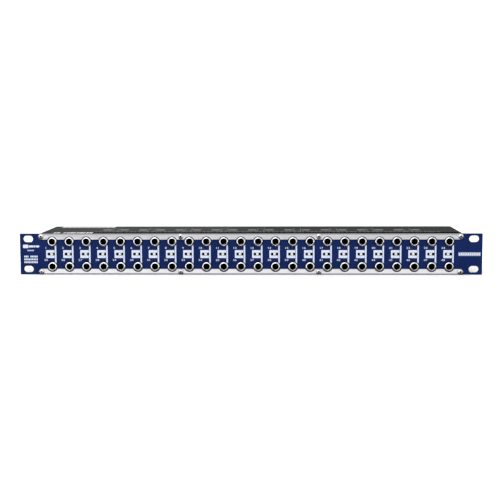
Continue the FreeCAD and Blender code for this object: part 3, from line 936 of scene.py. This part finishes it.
@dataclass
class Fasteners(Assembly):
    """The button-head screws of the panel and the pan-head screws of the cover."""

    shank_radius: float = 1.5 * MM
    thread_end: float = 0.5 * MM
    button_radius: float = 2.85 * MM
    button_height: float = 1.65 * MM
    button_rim: float = 0.3 * MM
    button_flat: float = 1.4 * MM
    hex_radius: float = 1.155 * MM
    hex_depth: float = 1.1 * MM
    pan_radius: float = 2.8 * MM
    pan_height: float = 1.8 * MM
    pan_crown: float = 1.0 * MM
    cross_span: float = 2.9 * MM
    cross_width: float = 0.75 * MM
    cross_depth: float = 1.15 * MM
    cross_taper: float = 0.55
    edge: float = 0.05 * MM
    recess_margin: float = 1.02
    recess_top: float = 0.12 * MM
    recess_seat: float = -0.1 * MM

    def build(self) -> None:
        """Makes both sets of screws."""
        self.panel_screws()
        self.cover_screws()

    def panel_screws(self) -> None:
        """The screws that hold the strips and the panel."""
        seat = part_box("upper_trim_strip")[0].y
        shifts = [Vector((x, seat, self.layout.screw_row(level)))
                  for x in self.layout.screw_columns for level in Level]
        piece = copies("panel_screw_set", self.button_screw(8 * MM), shifts)
        self.place(piece, "panel_screw_steel", ["screw_plate", "recess_shadow"],
                   stands_for=["front_panel_screws"])

    def cover_screws(self) -> None:
        """The screws in both sides of the cover, at the places that the frame gives."""
        low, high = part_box("cover_screws")
        side = high.x - self.pan_height
        depths = (low.y + self.pan_radius, high.y - self.pan_radius)
        made = []
        for sign in (-1, 1):
            master = self.pan_screw(4 * MM)
            master.data.transform(Matrix.Rotation(sign * math.pi / 2, 4, "Z"))
            shifts = [Vector((sign * side, y, (low.z + high.z) / 2)) for y in depths]
            made.append(copies("side_screws", master, shifts))
        piece = joined("cover_screw_set", made)
        self.place(piece, "cover_screw_steel", ["black_oxide", "recess_shadow"], stands_for=["cover_screws"])

    def shank(self, length: float) -> list[Point]:
        """The outline from under the head to the shank's end."""
        radius, end = self.shank_radius, self.thread_end
        return [(radius, 0), (radius, length - end), (radius - end, length), (0, length)]

    def button_screw(self, length: float) -> bpy.types.Object:
        """A button-head screw with its head towards -Y, seated at Y = 0.

        Args:
            length: the length of its shank.

        Returns:
            The new piece.
        """
        wide = self.button_radius - self.button_flat
        tall = self.button_height - self.button_rim
        dome = []
        for step in range(9):
            t = step / 8
            bulge = 0.3 * t * (1 - t)
            dome.append((self.button_flat + wide * (t + bulge), -self.button_rim - tall * (1 - t + bulge)))
        profile = [(0, -self.button_height), *dome, (self.button_radius, 0), *self.shank(length)]
        piece = turned("screw", profile, 48)
        top = -self.button_height
        hexagon = round_bar("hexagon", self.hex_radius, (0, top - MM, 0), (0, top + self.hex_depth, 0), 6)
        cut_out(piece, [hexagon])
        return self.finished(piece, self.hex_radius, top)

    def pan_screw(self, length: float) -> bpy.types.Object:
        """A pan-head screw with a tapered cross recess, its head towards -Y, seated at Y = 0.

        Args:
            length: the length of its shank.

        Returns:
            The new piece.
        """
        flat = self.pan_radius - self.pan_crown
        crown = arc((flat, self.pan_crown - self.pan_height), self.pan_crown, 270, 360, 8)
        piece = turned("screw", [(0, -self.pan_height), *crown, (self.pan_radius, 0), *self.shank(length)], 40)
        half_span, half_width = self.cross_span / 2, self.cross_width / 2
        top = -self.pan_height
        bottom = top + self.cross_depth
        for x, z in ((half_span, half_width), (half_width, half_span)):
            slot = bar("slot", (-x, top - MM, -z), (x, bottom, z))
            with editing(slot, "FACE"):
                pick_faces(slot, lambda centre, normal: normal.y > 0.9)
                taper = (self.cross_taper, 1, self.cross_taper)
                bpy.ops.transform.resize(value=taper, center_override=(0, bottom, 0))
            cut_out(piece, [slot])
        return self.finished(piece, half_span, top)

    def finished(self, piece: bpy.types.Object, recess_radius: float, top: float) -> bpy.types.Object:
        """Breaks a screw's edges and paints it, with the inside of its recess as the second material.

        Args:
            piece: the screw.
            recess_radius: the recess's largest radius.
            top: Y of the head's top.

        Returns:
            The same piece.
        """
        soften(piece, self.edge, 2, 40)
        for face in piece.data.polygons:
            inside = math.hypot(face.center.x, face.center.z) < recess_radius * self.recess_margin
            face.material_index = int(inside and top + self.recess_top < face.center.y < self.recess_seat)
        paint(piece, self.finishes["screw_plate"], self.finishes["recess_shadow"])
        return piece


@dataclass
class Sockets(Assembly):
    """The bright bushings of all four rows of sockets."""

    nose_radius: float = 4.8 * MM
    mouth_round: float = 0.4 * MM
    nose_back: float = 1.2 * MM
    barrel_radius: float = 4.3 * MM

    def build(self) -> None:
        """Makes every bushing, a row at a time."""
        front_y = self.layout.mount("front_socket_01")["pos_m"][1]
        rear_y = self.layout.mount("rear_socket_01")["pos_m"][1]
        for face in Face:
            for level in Level:
                master = self.bushing()
                paint(master, self.finishes["bushing_nickel"], self.finishes["bore_liner"])
                shift_y = 0.0
                if face is Face.REAR:
                    master.data.transform(Matrix.Rotation(math.pi, 4, "Z"))
                    shift_y = front_y + rear_y
                shifts = [Vector((x, shift_y, level.value * self.layout.row)) for x in self.layout.columns]
                piece = copies(f"{face.word}_{level.word}_rims", master, shifts)
                node = f"{face.word}_{level.word}_socket_bushings"
                self.place(piece, "bushing_nickel", ["bushing_nickel", "bore_liner"], stands_for=[node])

    def bushing(self) -> bpy.types.Object:
        """One bushing about the origin, its nose towards -Y."""
        low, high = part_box("front_upper_socket_bushings")
        bore = self.layout.bore
        inner = bore + self.mouth_round
        nose_round = self.nose_radius - inner
        profile = [
            (bore, high.y),
            *arc((inner, low.y + self.mouth_round), self.mouth_round, 180, 270, 4),
            *arc((inner, low.y + nose_round), nose_round, 270, 360, 9)[1:],
            (self.nose_radius, self.nose_back),
            (self.barrel_radius, self.nose_back),
            (self.barrel_radius, high.y),
            (bore, high.y),
        ]
        piece = turned("bushing", profile, 56)
        smooth(piece, 40)
        # Faces inside the bore and on the inner half of the mouth rounding get the near-black: painted shade on
        # the nickel.
        for polygon in piece.data.polygons:
            radius = math.hypot(polygon.center.x, polygon.center.z)
            polygon.material_index = int(radius < bore + 0.16 * MM)
        return piece


@dataclass
class ModeSwitches(Assembly):
    """The 24 sliding levers: an ivory knob, with the carrier behind it near black as painted shade."""

    knob: Point = (2.4 * MM, 2.4 * MM)
    carrier_front: float = 0.75 * MM
    knob_edge: float = 0.3 * MM
    groove: Point = (0.2 * MM, 0.16 * MM)
    groove_pitch: float = 0.65 * MM
    groove_reach: float = 3.0 * MM
    shoulder: float = 0.1 * MM

    def build(self) -> None:
        """Makes one lever and copies it to every channel, each on its own body."""
        master = self.lever()
        for number, x in enumerate(self.layout.switch_columns, start=1):
            piece = duplicate(master)
            piece.name = f"switch_knob_{number:02d}"
            piece.data.transform(Matrix.Translation((x, 0, 0)))
            self.place(piece, "lever_plastic", ["lever_ivory", "carrier_black"], f"lever_{number:02d}",
                       [f"mode_switch_lever_{number:02d}"])
        bpy.data.objects.remove(master)

    def lever(self) -> bpy.types.Object:
        """One lever at X = 0: a carrier block whose front is drawn out into the knob."""
        low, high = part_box("mode_switch_lever_01")
        half = Vector(((high.x - low.x) / 2, 0, (high.z - low.z) / 2))
        piece = bar("lever", (-half.x, self.carrier_front, -half.z), (half.x, high.y, half.z))
        inset = self.shoulder
        factors = (self.knob[0] / 2 / (half.x - inset), 1, self.knob[1] / 2 / (half.z - inset))
        with editing(piece, "FACE"):
            pick_faces(piece, lambda centre, normal: normal.y < -0.9)
            bpy.ops.mesh.inset(thickness=inset)
            bpy.ops.transform.resize(value=factors, center_override=(0, self.carrier_front, 0))
            reach = low.y - self.carrier_front
            bpy.ops.mesh.extrude_region_move(TRANSFORM_OT_translate={"value": (0, reach, 0)})
        tip = low.y + 0.01 * MM
        round_edges(piece, self.knob_edge, 3, lambda a, b: a.y < tip and b.y < tip)
        width, depth = self.groove
        grooves = []
        for step in (-1, 0, 1):
            x = step * self.groove_pitch
            grooves.append(bar("groove", (x - width / 2, low.y - MM, -self.groove_reach),
                               (x + width / 2, low.y + depth, self.groove_reach)))
        cut_out(piece, grooves)
        soften(piece, 0.04 * MM, 2, 30)
        # Faces behind the knob, in the window's recess, get the near-black: painted shade.
        for polygon in piece.data.polygons:
            polygon.material_index = int(polygon.center.y > self.carrier_front - 0.3 * MM)
        return piece


@dataclass
class PanelPrinting(Assembly):
    """White printing on the panel: switch boxes, channel bars, numbers and plain pictograms."""

    thickness: float = 0.03 * MM
    spread: float = 1.002
    shift: float = -0.22 * MM
    box_left: float = -6.2 * MM
    box_right: float = 2.65 * MM
    box_half_height: float = 4.15 * MM
    box_corner: float = 0.25 * MM
    window: Point = (7.7 * MM, 2.95 * MM)
    window_corner: float = 0.4 * MM
    bar_left: float = 3.05 * MM
    bar_right: float = 4.6 * MM
    bar_half_height: float = 9.9 * MM
    clear_of_socket: float = 5.65 * MM
    number_left: float = -6.35 * MM
    number_height: float = 6.35 * MM
    number_size: float = 2.7 * MM
    number_stretch: float = 1.45
    symbol_margin: float = 3.2 * MM
    plug_height: float = 8.1 * MM
    plug_sections: Sequence[tuple[float, float, float, float]] = (
        (0.0, 5.6 * MM, 1.8 * MM, 0.8 * MM),
        (6.1 * MM, 11.0 * MM, 1.05 * MM, 0.0),
        (11.4 * MM, 13.2 * MM, 1.05 * MM, 0.0),
        (13.6 * MM, 17.2 * MM, 1.05 * MM, 0.95 * MM),
    )
    rule_x: Span = (4.6 * MM, 11.4 * MM)
    rule_z: Span = (3.25 * MM, 4.35 * MM)
    rule_corner: float = 0.5 * MM
    rule_frame: float = 0.4 * MM
    chart_top: float = -2.6 * MM
    chart_indent: float = 1.0 * MM
    chart_rows: int = 3
    chart_columns: int = 9
    chart_gap: tuple[int, int] = (0, 3)
    chart_pitch: float = 1.62 * MM
    chart_row_pitch: float = 3.0 * MM
    chart_block: Sequence[float] = (1.25 * MM, 0.95 * MM, 0.25 * MM)
    stripe_start: float = 24.6 * MM
    stripe_margin: float = 1.8 * MM
    stripe_rule: Span = (1.35 * MM, 1.75 * MM)
    stripe_blocks: int = 10
    stripe_fill: float = 0.84
    stripe_block: Point = (1.05 * MM, 0.2 * MM)

    def build(self) -> None:
        """Makes everything that is printed on the panel."""
        self.boxes()
        self.bars()
        self.numbers()
        self.mode_symbols()
        self.end_stripes()

    @property
    def back(self) -> float:
        """Y of the panel's face, where the ink lies."""
        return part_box("front_panel")[0].y

    @property
    def columns(self) -> list[float]:
        """X of each channel on the printing film, which is a little longer than the row of sockets."""
        return [x * self.spread + self.shift for x in self.layout.columns]

    def patch(self, name: str, x: Span, z: Span, corner: float = 0.0) -> bpy.types.Object:
        """A flat patch of ink on the panel.

        Args:
            name: the piece's name.
            x: its lowest and highest X.
            z: its lowest and highest Z.
            corner: the radius of its corners.

        Returns:
            The new piece.
        """
        piece = bar(name, (x[0], self.back - self.thickness, z[0]), (x[1], self.back, z[1]))
        if corner:
            round_edges(piece, corner, 6, along_y)
        return piece

    def ink(self, name: str, pieces: Sequence[bpy.types.Object]) -> None:
        """Joins patches into one piece of white ink."""
        self.place(joined(name, pieces), "blue_panel_paint", ["white_ink"])

    def boxes(self) -> None:
        """The filled box around each mode switch, open at the switch's window."""
        offset = self.layout.switch_columns[0] - self.layout.columns[0] - self.shift
        height = (-self.box_half_height, self.box_half_height)
        master = self.patch("box", (self.box_left, self.box_right), height, self.box_corner)
        width, tall = self.window
        hole = bar("hole", (offset - width / 2, AHEAD, -tall / 2), (offset + width / 2, 0, tall / 2))
        round_edges(hole, self.window_corner, 4, along_y)
        cut_out(master, [hole])
        piece = copies("switch_boxes", master, [Vector((x, 0, 0)) for x in self.columns])
        self.ink("switch_boxes", [piece])

    def bars(self) -> None:
        """The bar at each channel's right, which joins its two sockets."""
        height = (-self.bar_half_height, self.bar_half_height)
        master = self.patch("bar", (self.bar_left, self.bar_right), height)
        rings = [
            round_bar("hole", self.clear_of_socket, (0, AHEAD, level.value * self.layout.row),
                      (0, 0, level.value * self.layout.row), 96)
            for level in Level
        ]
        cut_out(master, rings)
        piece = copies("channel_bars", master, [Vector((x, 0, 0)) for x in self.columns])
        self.ink("channel_bars", [piece])

    def numbers(self) -> None:
        """1 to 24 beside the upper sockets and 25 to 48 beside the lower ones."""
        for level in Level:
            first = 1 if level is Level.UPPER else len(self.layout.columns) + 1
            made = []
            for index, x in enumerate(self.columns):
                number = written("number", str(first + index), self.number_size, self.thickness)
                number.data.transform(Matrix.Scale(self.number_stretch, 4, (1, 0, 0)))
                place = Vector((x + self.number_left, self.back, level.value * self.number_height))
                number.data.transform(Matrix.Translation(place))
                made.append(number)
            self.ink(f"{level.word}_channel_numbers", made)

    def mode_symbols(self) -> None:
        """At the left end, a plug's outline and a rule over a chart of short blocks in three rows."""
        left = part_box("front_panel")[0].x + self.symbol_margin
        z = self.plug_height
        plug = [self.patch("plug", (left + start, left + end), (z - half, z + half), corner)
                for start, end, half, corner in self.plug_sections]
        self.ink("plug_symbol", plug)
        (start, end), (low, high), frame_width = self.rule_x, self.rule_z, self.rule_frame
        rule = self.patch("rule", (left + start, left + end), (low, high), self.rule_corner)
        hole = bar("hole", (left + start + 2 * frame_width, AHEAD, low + frame_width),
                   (left + end - 2 * frame_width, 0, high - frame_width))
        cut_out(rule, [hole])
        self.ink("symbol_rule", [rule])
        self.ink("mode_chart", self.chart_blocks(left))

    def chart_blocks(self, left: float) -> list[bpy.types.Object]:
        """The chart's blocks, in rows with one block left out of the first.

        Args:
            left: X of the symbols' left side.

        Returns:
            The patches.
        """
        width, half, corner = self.chart_block
        made = []
        for row in range(self.chart_rows):
            z = self.chart_top - self.chart_row_pitch * row
            for column in range(self.chart_columns):
                if (row, column) == self.chart_gap:
                    continue
                x = left + self.chart_indent + self.chart_pitch * column
                made.append(self.patch("block", (x, x + width), (z - half, z + half), corner))
        return made

    def end_stripes(self) -> None:
        """At the right end, a ruled stripe filled with short upright blocks."""
        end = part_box("front_panel")[1].x
        left, right = end - self.stripe_start, end - self.stripe_margin
        near, far = self.stripe_rule
        stripes = [self.patch("stripe", (left, right), z) for z in ((near, far), (-far, -near))]
        step = (right - left) / self.stripe_blocks
        half, corner = self.stripe_block
        for place in range(self.stripe_blocks):
            x = left + place * step
            stripes.append(self.patch("stripe", (x, x + self.stripe_fill * step), (-half, half), corner))
        self.ink("end_stripes", stripes)


@dataclass
class Body(Assembly):
    """The folded cover and the folded tray."""

    sheet: float = 1.0 * MM
    bend: float = 1.2 * MM
    flange_top: float = -9.0 * MM
    lip_top: float = -18.7 * MM
    post_width: float = 7.0 * MM
    post_waist: Point = (3.6 * MM, 7.0 * MM)
    socket_hole: float = 5.55 * MM
    screw_hole: float = 1.7 * MM
    cover_edge: float = 0.15 * MM
    tray_edge: float = 0.12 * MM
    beyond: float = 5 * MM

    def build(self) -> None:
        """Makes the cover and the tray."""
        self.cover()
        self.tray()

    def side_holes(self) -> list[bpy.types.Object]:
        """Cutters for the cover screws, right through both sides."""
        low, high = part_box("cover_screws")
        z = (low.z + high.z) / 2
        reach = high.x + self.beyond
        head = (high.z - low.z) / 2
        return [round_bar("hole", self.screw_hole, (-reach, y, z), (reach, y, z), 24)
                for y in (low.y + head, high.y - head)]

    def cover(self) -> bpy.types.Object:
        """A block whose top corners are bent round, hollowed out to a sheet of even thickness."""
        low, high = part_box("top_cover")
        piece = bar("cover_shell", low, high)
        round_edges(piece, self.bend, 8, lambda a, b: along_y(a, b) and a.z > 0)
        with editing(piece, "FACE"):
            pick_faces(piece, lambda centre, normal: abs(normal.y) > 0.9 or normal.z < -0.9)
            bpy.ops.mesh.delete(type="FACE")
        modify(piece, "SOLIDIFY", thickness=self.sheet, offset=-1.0, use_even_offset=True)
        cut_out(piece, self.side_holes())
        soften(piece, self.cover_edge, 2, 40)
        return self.place(piece, "cover_paint", ["cover_paint"], stands_for=["top_cover"])

    def tray(self) -> bpy.types.Object:
        """An open box of sheet, cut down to its flanges, lip, posts and rear wall."""
        low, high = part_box("chassis_tray")
        piece = bar("tray_shell", low, high)
        with editing(piece, "FACE"):
            pick_faces(piece, lambda centre, normal: normal.z > 0.9)
            bpy.ops.mesh.delete(type="FACE")
        modify(piece, "SOLIDIFY", thickness=self.sheet, offset=-1.0, use_even_offset=True)
        beyond = self.beyond
        sides = bar("cutter", (low.x - beyond, low.y + self.sheet, self.flange_top),
                    (high.x + beyond, high.y - self.sheet, high.z + beyond))
        cut_out(piece, [sides])
        for cutter in self.post_gaps(low, high):
            cut_out(piece, [cutter])
        holes = [
            round_bar("hole", self.socket_hole, (x, high.y - 3 * self.sheet, level.value * self.layout.row),
                      (x, high.y + beyond, level.value * self.layout.row))
            for level in Level for x in self.layout.columns
        ]
        cut_out(piece, holes)
        cut_out(piece, self.side_holes())
        soften(piece, self.tray_edge, 2, 40)
        return self.place(piece, "tray_steel", ["tray_paint"], stands_for=["chassis_tray"])

    def post_gaps(self, low: Vector, high: Vector) -> list[bpy.types.Object]:
        """Cutters for the front wall between one post and the next."""
        columns = self.layout.screw_columns
        front, back = low.y - self.sheet, low.y + 1.5 * self.sheet
        half = self.post_width / 2
        waist, waist_height = self.post_waist
        cutters = []
        for left, right in zip(columns, columns[1:]):
            cutters.append(bar("cutter", (left + half, front, self.lip_top),
                               (right - half, back, high.z + self.beyond)))
            cutters.append(bar("cutter", (left + waist / 2, front, -waist_height / 2),
                               (right - waist / 2, back, waist_height / 2)))
        return cutters


@dataclass
class BodyPrinting(Assembly):
    """Line diagrams, a pale label and a black strip of painted shade on the cover, and numbers on the rear wall.
    """

    thickness: float = 0.03 * MM
    tape_thickness: float = 0.25 * MM
    tape_left: float = -166 * MM
    tape_depth: float = 14.5 * MM
    tape_gap: Point = (1.5 * MM, 0.1 * MM)
    tape_edge: float = 0.08 * MM
    diagrams: int = 9
    diagram_pitch: float = 39.4 * MM
    first_diagram: float = -147 * MM
    diagram_half_gap: float = 3.6 * MM
    diagram_line: float = 0.75 * MM
    diagram_line_y: Span = (27 * MM, 62 * MM)
    diagram_block_x: Span = (1.6 * MM, 10.2 * MM)
    diagram_block_y: Span = (38 * MM, 50 * MM)
    front_link_y: Span = (33 * MM, 34.5 * MM)
    rear_link_y: Span = (54 * MM, 55.5 * MM)
    heading_left: float = -208 * MM
    heading_pitch: float = 3.45 * MM
    heading_widths: Sequence[float] = (2.1 * MM, 2.6 * MM, 3.1 * MM)
    heading_y: Span = (6 * MM, 18 * MM)
    dash_left: float = -166 * MM
    dash_pitch: float = 4.6 * MM
    dash_widths: Sequence[float] = (2.6 * MM, 3.2 * MM, 3.8 * MM)
    dash_y: Span = (19 * MM, 24 * MM)
    dashes: int = 80
    label_x: Span = (-212 * MM, -153 * MM)
    label_from_back: Span = (17 * MM, 1.5 * MM)
    label_rows: Sequence[float] = (14 * MM, 10 * MM, 6 * MM)
    label_dashes: int = 10
    label_indent: float = 3 * MM
    label_pitch: float = 5.4 * MM
    label_dash_widths: Sequence[float] = (3.6 * MM, 4.6 * MM)
    label_dash_depth: float = 1.4 * MM
    number_height: float = 3.6 * MM
    number_size: float = 3.4 * MM

    def build(self) -> None:
        """Makes the printing of the cover and of the rear wall."""
        self.front_tape()
        self.cover_diagrams()
        self.heading_blocks()
        self.ruled_row()
        self.pale_label()
        self.rear_numbers()

    def patch(self, x: Span, y: Span, thickness: float = 0.0) -> bpy.types.Object:
        """A flat patch on the cover's roof.

        Args:
            x: its lowest and highest X.
            y: its lowest and highest Y.
            thickness: how far it stands out; 0 takes the ink's thickness.

        Returns:
            The new piece.
        """
        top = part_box("top_cover")[1].z
        return bar("patch", (x[0], y[0], top), (x[1], y[1], top + (thickness or self.thickness)))

    def front_tape(self) -> None:
        """A thin near-black strip along the cover's front edge, behind the panel: painted shade."""
        low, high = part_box("top_cover")
        gap_x, gap_y = self.tape_gap
        shade_strip = self.patch((self.tape_left, high.x - gap_x), (low.y + gap_y, low.y + self.tape_depth),
                          self.tape_thickness)
        soften(shade_strip, self.tape_edge)
        self.place(shade_strip, "cover_paint", ["foam_black"])

    def diagram(self, middle: float, mode: int) -> list[bpy.types.Object]:
        """One signal diagram: a block on each side of two lines, and links between them that differ by mode.

        Args:
            middle: its middle along X.
            mode: 0, 1 or 2, for the links that it shows.

        Returns:
            Its patches.
        """
        half_gap, line = self.diagram_half_gap, self.diagram_line
        made = []
        for side in (-1, 1):
            x = middle + side * half_gap
            made.append(self.patch((x - line / 2, x + line / 2), self.diagram_line_y))
            near, far = sorted(x + side * reach for reach in self.diagram_block_x)
            made.append(self.patch((near, far), self.diagram_block_y))
        inside = (middle - half_gap + line, middle + half_gap - line)
        if mode != 1:
            made.append(self.patch(inside, self.front_link_y))
        if mode != 2:
            made.append(self.patch(inside, self.rear_link_y))
        return made

    def cover_diagrams(self) -> None:
        """A row of signal diagrams across the cover, with the modes in turn."""
        made = []
        for index in range(self.diagrams):
            made += self.diagram(self.first_diagram + index * self.diagram_pitch, index % 3)
        self.place(joined("cover_diagrams", made), "cover_paint", ["grey_ink"])

    def row(self, left: float, pitch: float, places: Sequence[int], widths: Sequence[float],
            y: Span, thickness: float = 0.0) -> list[bpy.types.Object]:
        """A row of patches, whose widths take turns.

        Args:
            left: X of place 0.
            pitch: from one place to the next.
            places: the places that hold a patch.
            widths: the widths, in turn.
            y: the row's lowest and highest Y.
            thickness: how far the patches stand out; 0 takes the ink's thickness.

        Returns:
            The patches.
        """
        made = []
        for place in places:
            x = left + place * pitch
            made.append(self.patch((x, x + widths[place % len(widths)]), y, thickness))
        return made

    def heading_blocks(self) -> None:
        """A bold row of upright blocks at the cover's front left corner: two, a space, then nine."""
        places = (0, 1, *range(3, 12))
        made = self.row(self.heading_left, self.heading_pitch, places, self.heading_widths, self.heading_y)
        self.place(joined("cover_heading", made), "cover_paint", ["pale_ink"])

    def ruled_row(self) -> None:
        """A fine row of dashes behind the black strip of painted shade."""
        made = self.row(self.dash_left, self.dash_pitch, range(self.dashes), self.dash_widths, self.dash_y)
        self.place(joined("cover_rules", made), "cover_paint", ["faint_ink"])

    def pale_label(self) -> None:
        """A pale label at the cover's rear left corner, with rows of dark dashes."""
        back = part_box("top_cover")[1].y
        front_edge, back_edge = self.label_from_back
        label = self.patch(self.label_x, (back - front_edge, back - back_edge), 2 * self.thickness)
        self.place(label, "cover_paint", ["label_paper"])
        made = []
        for from_back in self.label_rows:
            y = back - from_back
            made += self.row(self.label_x[0] + self.label_indent, self.label_pitch, range(self.label_dashes),
                             self.label_dash_widths, (y, y + self.label_dash_depth), 3 * self.thickness)
        self.place(joined("label_dashes", made), "cover_paint", ["grey_ink"])

    def rear_numbers(self) -> None:
        """The channels' numbers between the two rows of rear sockets."""
        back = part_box("chassis_tray")[1].y
        for level in Level:
            first = 1 if level is Level.UPPER else len(self.layout.columns) + 1
            made = []
            for index, x in enumerate(self.layout.columns):
                number = written("number", str(first + index), self.number_size, self.thickness)
                number.data.transform(Matrix.Rotation(math.pi, 4, "Z"))
                number.data.transform(Matrix.Translation((x, back, level.value * self.number_height)))
                made.append(number)
            self.place(joined(f"rear_{level.word}_numbers", made), "tray_steel", ["white_ink"])


def dress_inner_parts(nodes: dict[str, bpy.types.Object], finishes: dict[str, bpy.types.Material]) -> None:
    """Gives a material to every node of the frame that stays as it is.

    Args:
        nodes: the frame's node objects.
        finishes: every material, by its name.
    """
    by_ending = {
        "socket_housings": "housing_black", "contacts": "contact_brass", "circuit_board": "board_mask",
        # Switch shells near black: painted shade.
        "board_standoffs": "zinc_plate", "board_screws": "zinc_plate", "switch_shells": "shell_tin",
        "switch_bases": "base_phenolic",
    }
    for name, node in nodes.items():
        for ending, finish in by_ending.items():
            if name.endswith(ending):
                paint(node, finishes[finish])


# ---------------------------------------------------------------------------------------------------
# Studio
# ---------------------------------------------------------------------------------------------------

@dataclass
class Studio:
    """The floor, the light and the camera.

    A softbox is its name, place, side and power.
    A card is its name, span in X, place in Y, span in Z and light.
    """

    softboxes: Sequence[tuple[str, Sequence[float], float, float]] = (
        ("key_softbox", (-0.5, -1.3, 1.5), 1.6, 16.0),
        ("back_softbox", (0.2, 1.6, 1.2), 1.4, 8.0),
    )
    cards: Sequence[tuple[str, Span, float, Span, float]] = (
        ("left_glow", (-1.7, -0.5), -1.4, (-0.5, 0.12), 2.4),
        ("grey_flag", (-1.6, -0.04), 0.62, (-0.02, 0.5), 0.3),
        ("black_flag", (-0.04, 1.6), 0.62, (-0.02, 0.5), 0.01),
    )
    floor_size: float = 60.0
    floor_gap: float = 0.02 * MM
    floor_fibre: float = 40 * MM
    dark_below: float = 0.4
    white_above: float = 0.46
    dark: float = 0.015
    sky_strength: float = 1.08
    camera_place: Sequence[float] = (37.2 * MM, -1097.6 * MM, 127.5 * MM)
    camera_yaw: float = 1.924
    camera_pitch: float = 6.412
    camera_roll: float = -0.215
    lens: float = 76.14

    def build(self) -> None:
        """Sets the stage."""
        self.floor()
        self.sky()
        for softbox in self.softboxes:
            self.soft_light(*softbox)
        for card in self.cards:
            self.card(*card)
        self.camera()

    def floor(self) -> None:
        """A wide pale floor just under the lowest point of the object."""
        low, _ = cad_bounds
        bpy.ops.mesh.primitive_plane_add(size=self.floor_size, location=(0, 0, low.z - self.floor_gap))
        floor = bpy.context.active_object
        floor.name = "floor"
        graph = Graph("floor_paper")
        fibres = graph.noise(graph.place(), self.floor_fibre, 3.0)
        graph.set(Base_Color=graph.mixed(fibres, (0.95, 0.95, 0.95), (0.98, 0.98, 0.98)), Roughness=0.9,
                  Specular_IOR_Level=0.1)
        paint(floor, graph.material)
        floor.visible_glossy = False

    def sky(self) -> None:
        """A white surround that is darker below the horizon, so that bright metal has something to show."""
        world = bpy.data.worlds.new("surround")
        world.use_nodes = True
        tree = world.node_tree
        coordinates = tree.nodes.new("ShaderNodeTexCoord")
        split = tree.nodes.new("ShaderNodeSeparateXYZ")
        ramp = tree.nodes.new("ShaderNodeValToRGB")
        lower, upper = ramp.color_ramp.elements
        lower.position, upper.position = self.dark_below, self.white_above
        lower.color = (self.dark, self.dark, self.dark, 1)
        upper.color = (1.0, 1.0, 1.0, 1)
        shift = tree.nodes.new("ShaderNodeMapRange")
        shift.inputs[1].default_value = -1.0
        tree.links.new(coordinates.outputs["Generated"], split.inputs[0])
        tree.links.new(split.outputs["Z"], shift.inputs[0])
        tree.links.new(shift.outputs[0], ramp.inputs[0])
        tree.links.new(ramp.outputs[0], tree.nodes["Background"].inputs[0])
        tree.nodes["Background"].inputs[1].default_value = self.sky_strength
        bpy.context.scene.world = world

    def soft_light(self, name: str, place: Sequence[float], size: float, power: float) -> None:
        """A square softbox aimed at the object's middle.

        Args:
            name: its name.
            place: where it stands, in metres.
            size: the length of its side.
            power: its power in watts.
        """
        bpy.ops.object.light_add(type="AREA", location=place)
        light = bpy.context.active_object
        light.name = name
        light.data.size = size
        light.data.energy = power
        light.rotation_euler = (-Vector(place)).to_track_quat("-Z", "Y").to_euler()

    def card(self, name: str, x: Span, y: float, z: Span, light: float) -> None:
        """An upright card that only reflections see.

        Args:
            name: its name.
            x: its left and right ends, in metres.
            y: how far back it stands.
            z: its lower and upper ends.
            light: its brightness; a low value makes it a flag that takes light away.
        """
        middle = ((x[0] + x[1]) / 2, y, (z[0] + z[1]) / 2)
        bpy.ops.mesh.primitive_plane_add(size=1, location=middle, rotation=(math.pi / 2, 0, 0))
        card = bpy.context.active_object
        card.name = name
        card.scale = (x[1] - x[0], z[1] - z[0], 1)
        graph = Graph(name)
        graph.set(Base_Color=(0, 0, 0), Specular_IOR_Level=0.0, Emission_Color=(1, 1, 1),
                  Emission_Strength=light)
        paint(card, graph.material)
        card.visible_camera = card.visible_diffuse = card.visible_shadow = False

    def camera(self) -> None:
        """A long lens a little above the panel, to the right of its middle."""
        bpy.ops.object.camera_add(location=self.camera_place)
        camera = bpy.context.active_object
        yaw = Matrix.Rotation(math.radians(self.camera_yaw), 3, "Z")
        pitch = Matrix.Rotation(math.radians(90 - self.camera_pitch), 3, "X")
        roll = Matrix.Rotation(math.radians(self.camera_roll), 3, "Z")
        camera.rotation_euler = (yaw @ pitch @ roll).to_euler()
        camera.data.lens = self.lens
        bpy.context.scene.camera = camera
        bpy.context.scene.view_settings.view_transform = "Standard"


def main() -> None:
    """Builds every sub-assembly in order, then the studio."""
    logging.basicConfig(level=logging.INFO, format="%(message)s")
    layout = Layout(frame["record"])
    finishes = {finish.name: finish.build() for finish in FINISHES}
    dress_inner_parts(frame["nodes"], finishes)
    for assembly in (FrontPanel, Fasteners, Sockets, ModeSwitches, PanelPrinting, Body, BodyPrinting):
        assembly(layout, finishes).build()
    Studio().build()


if __name__ == "__main__":
    main()
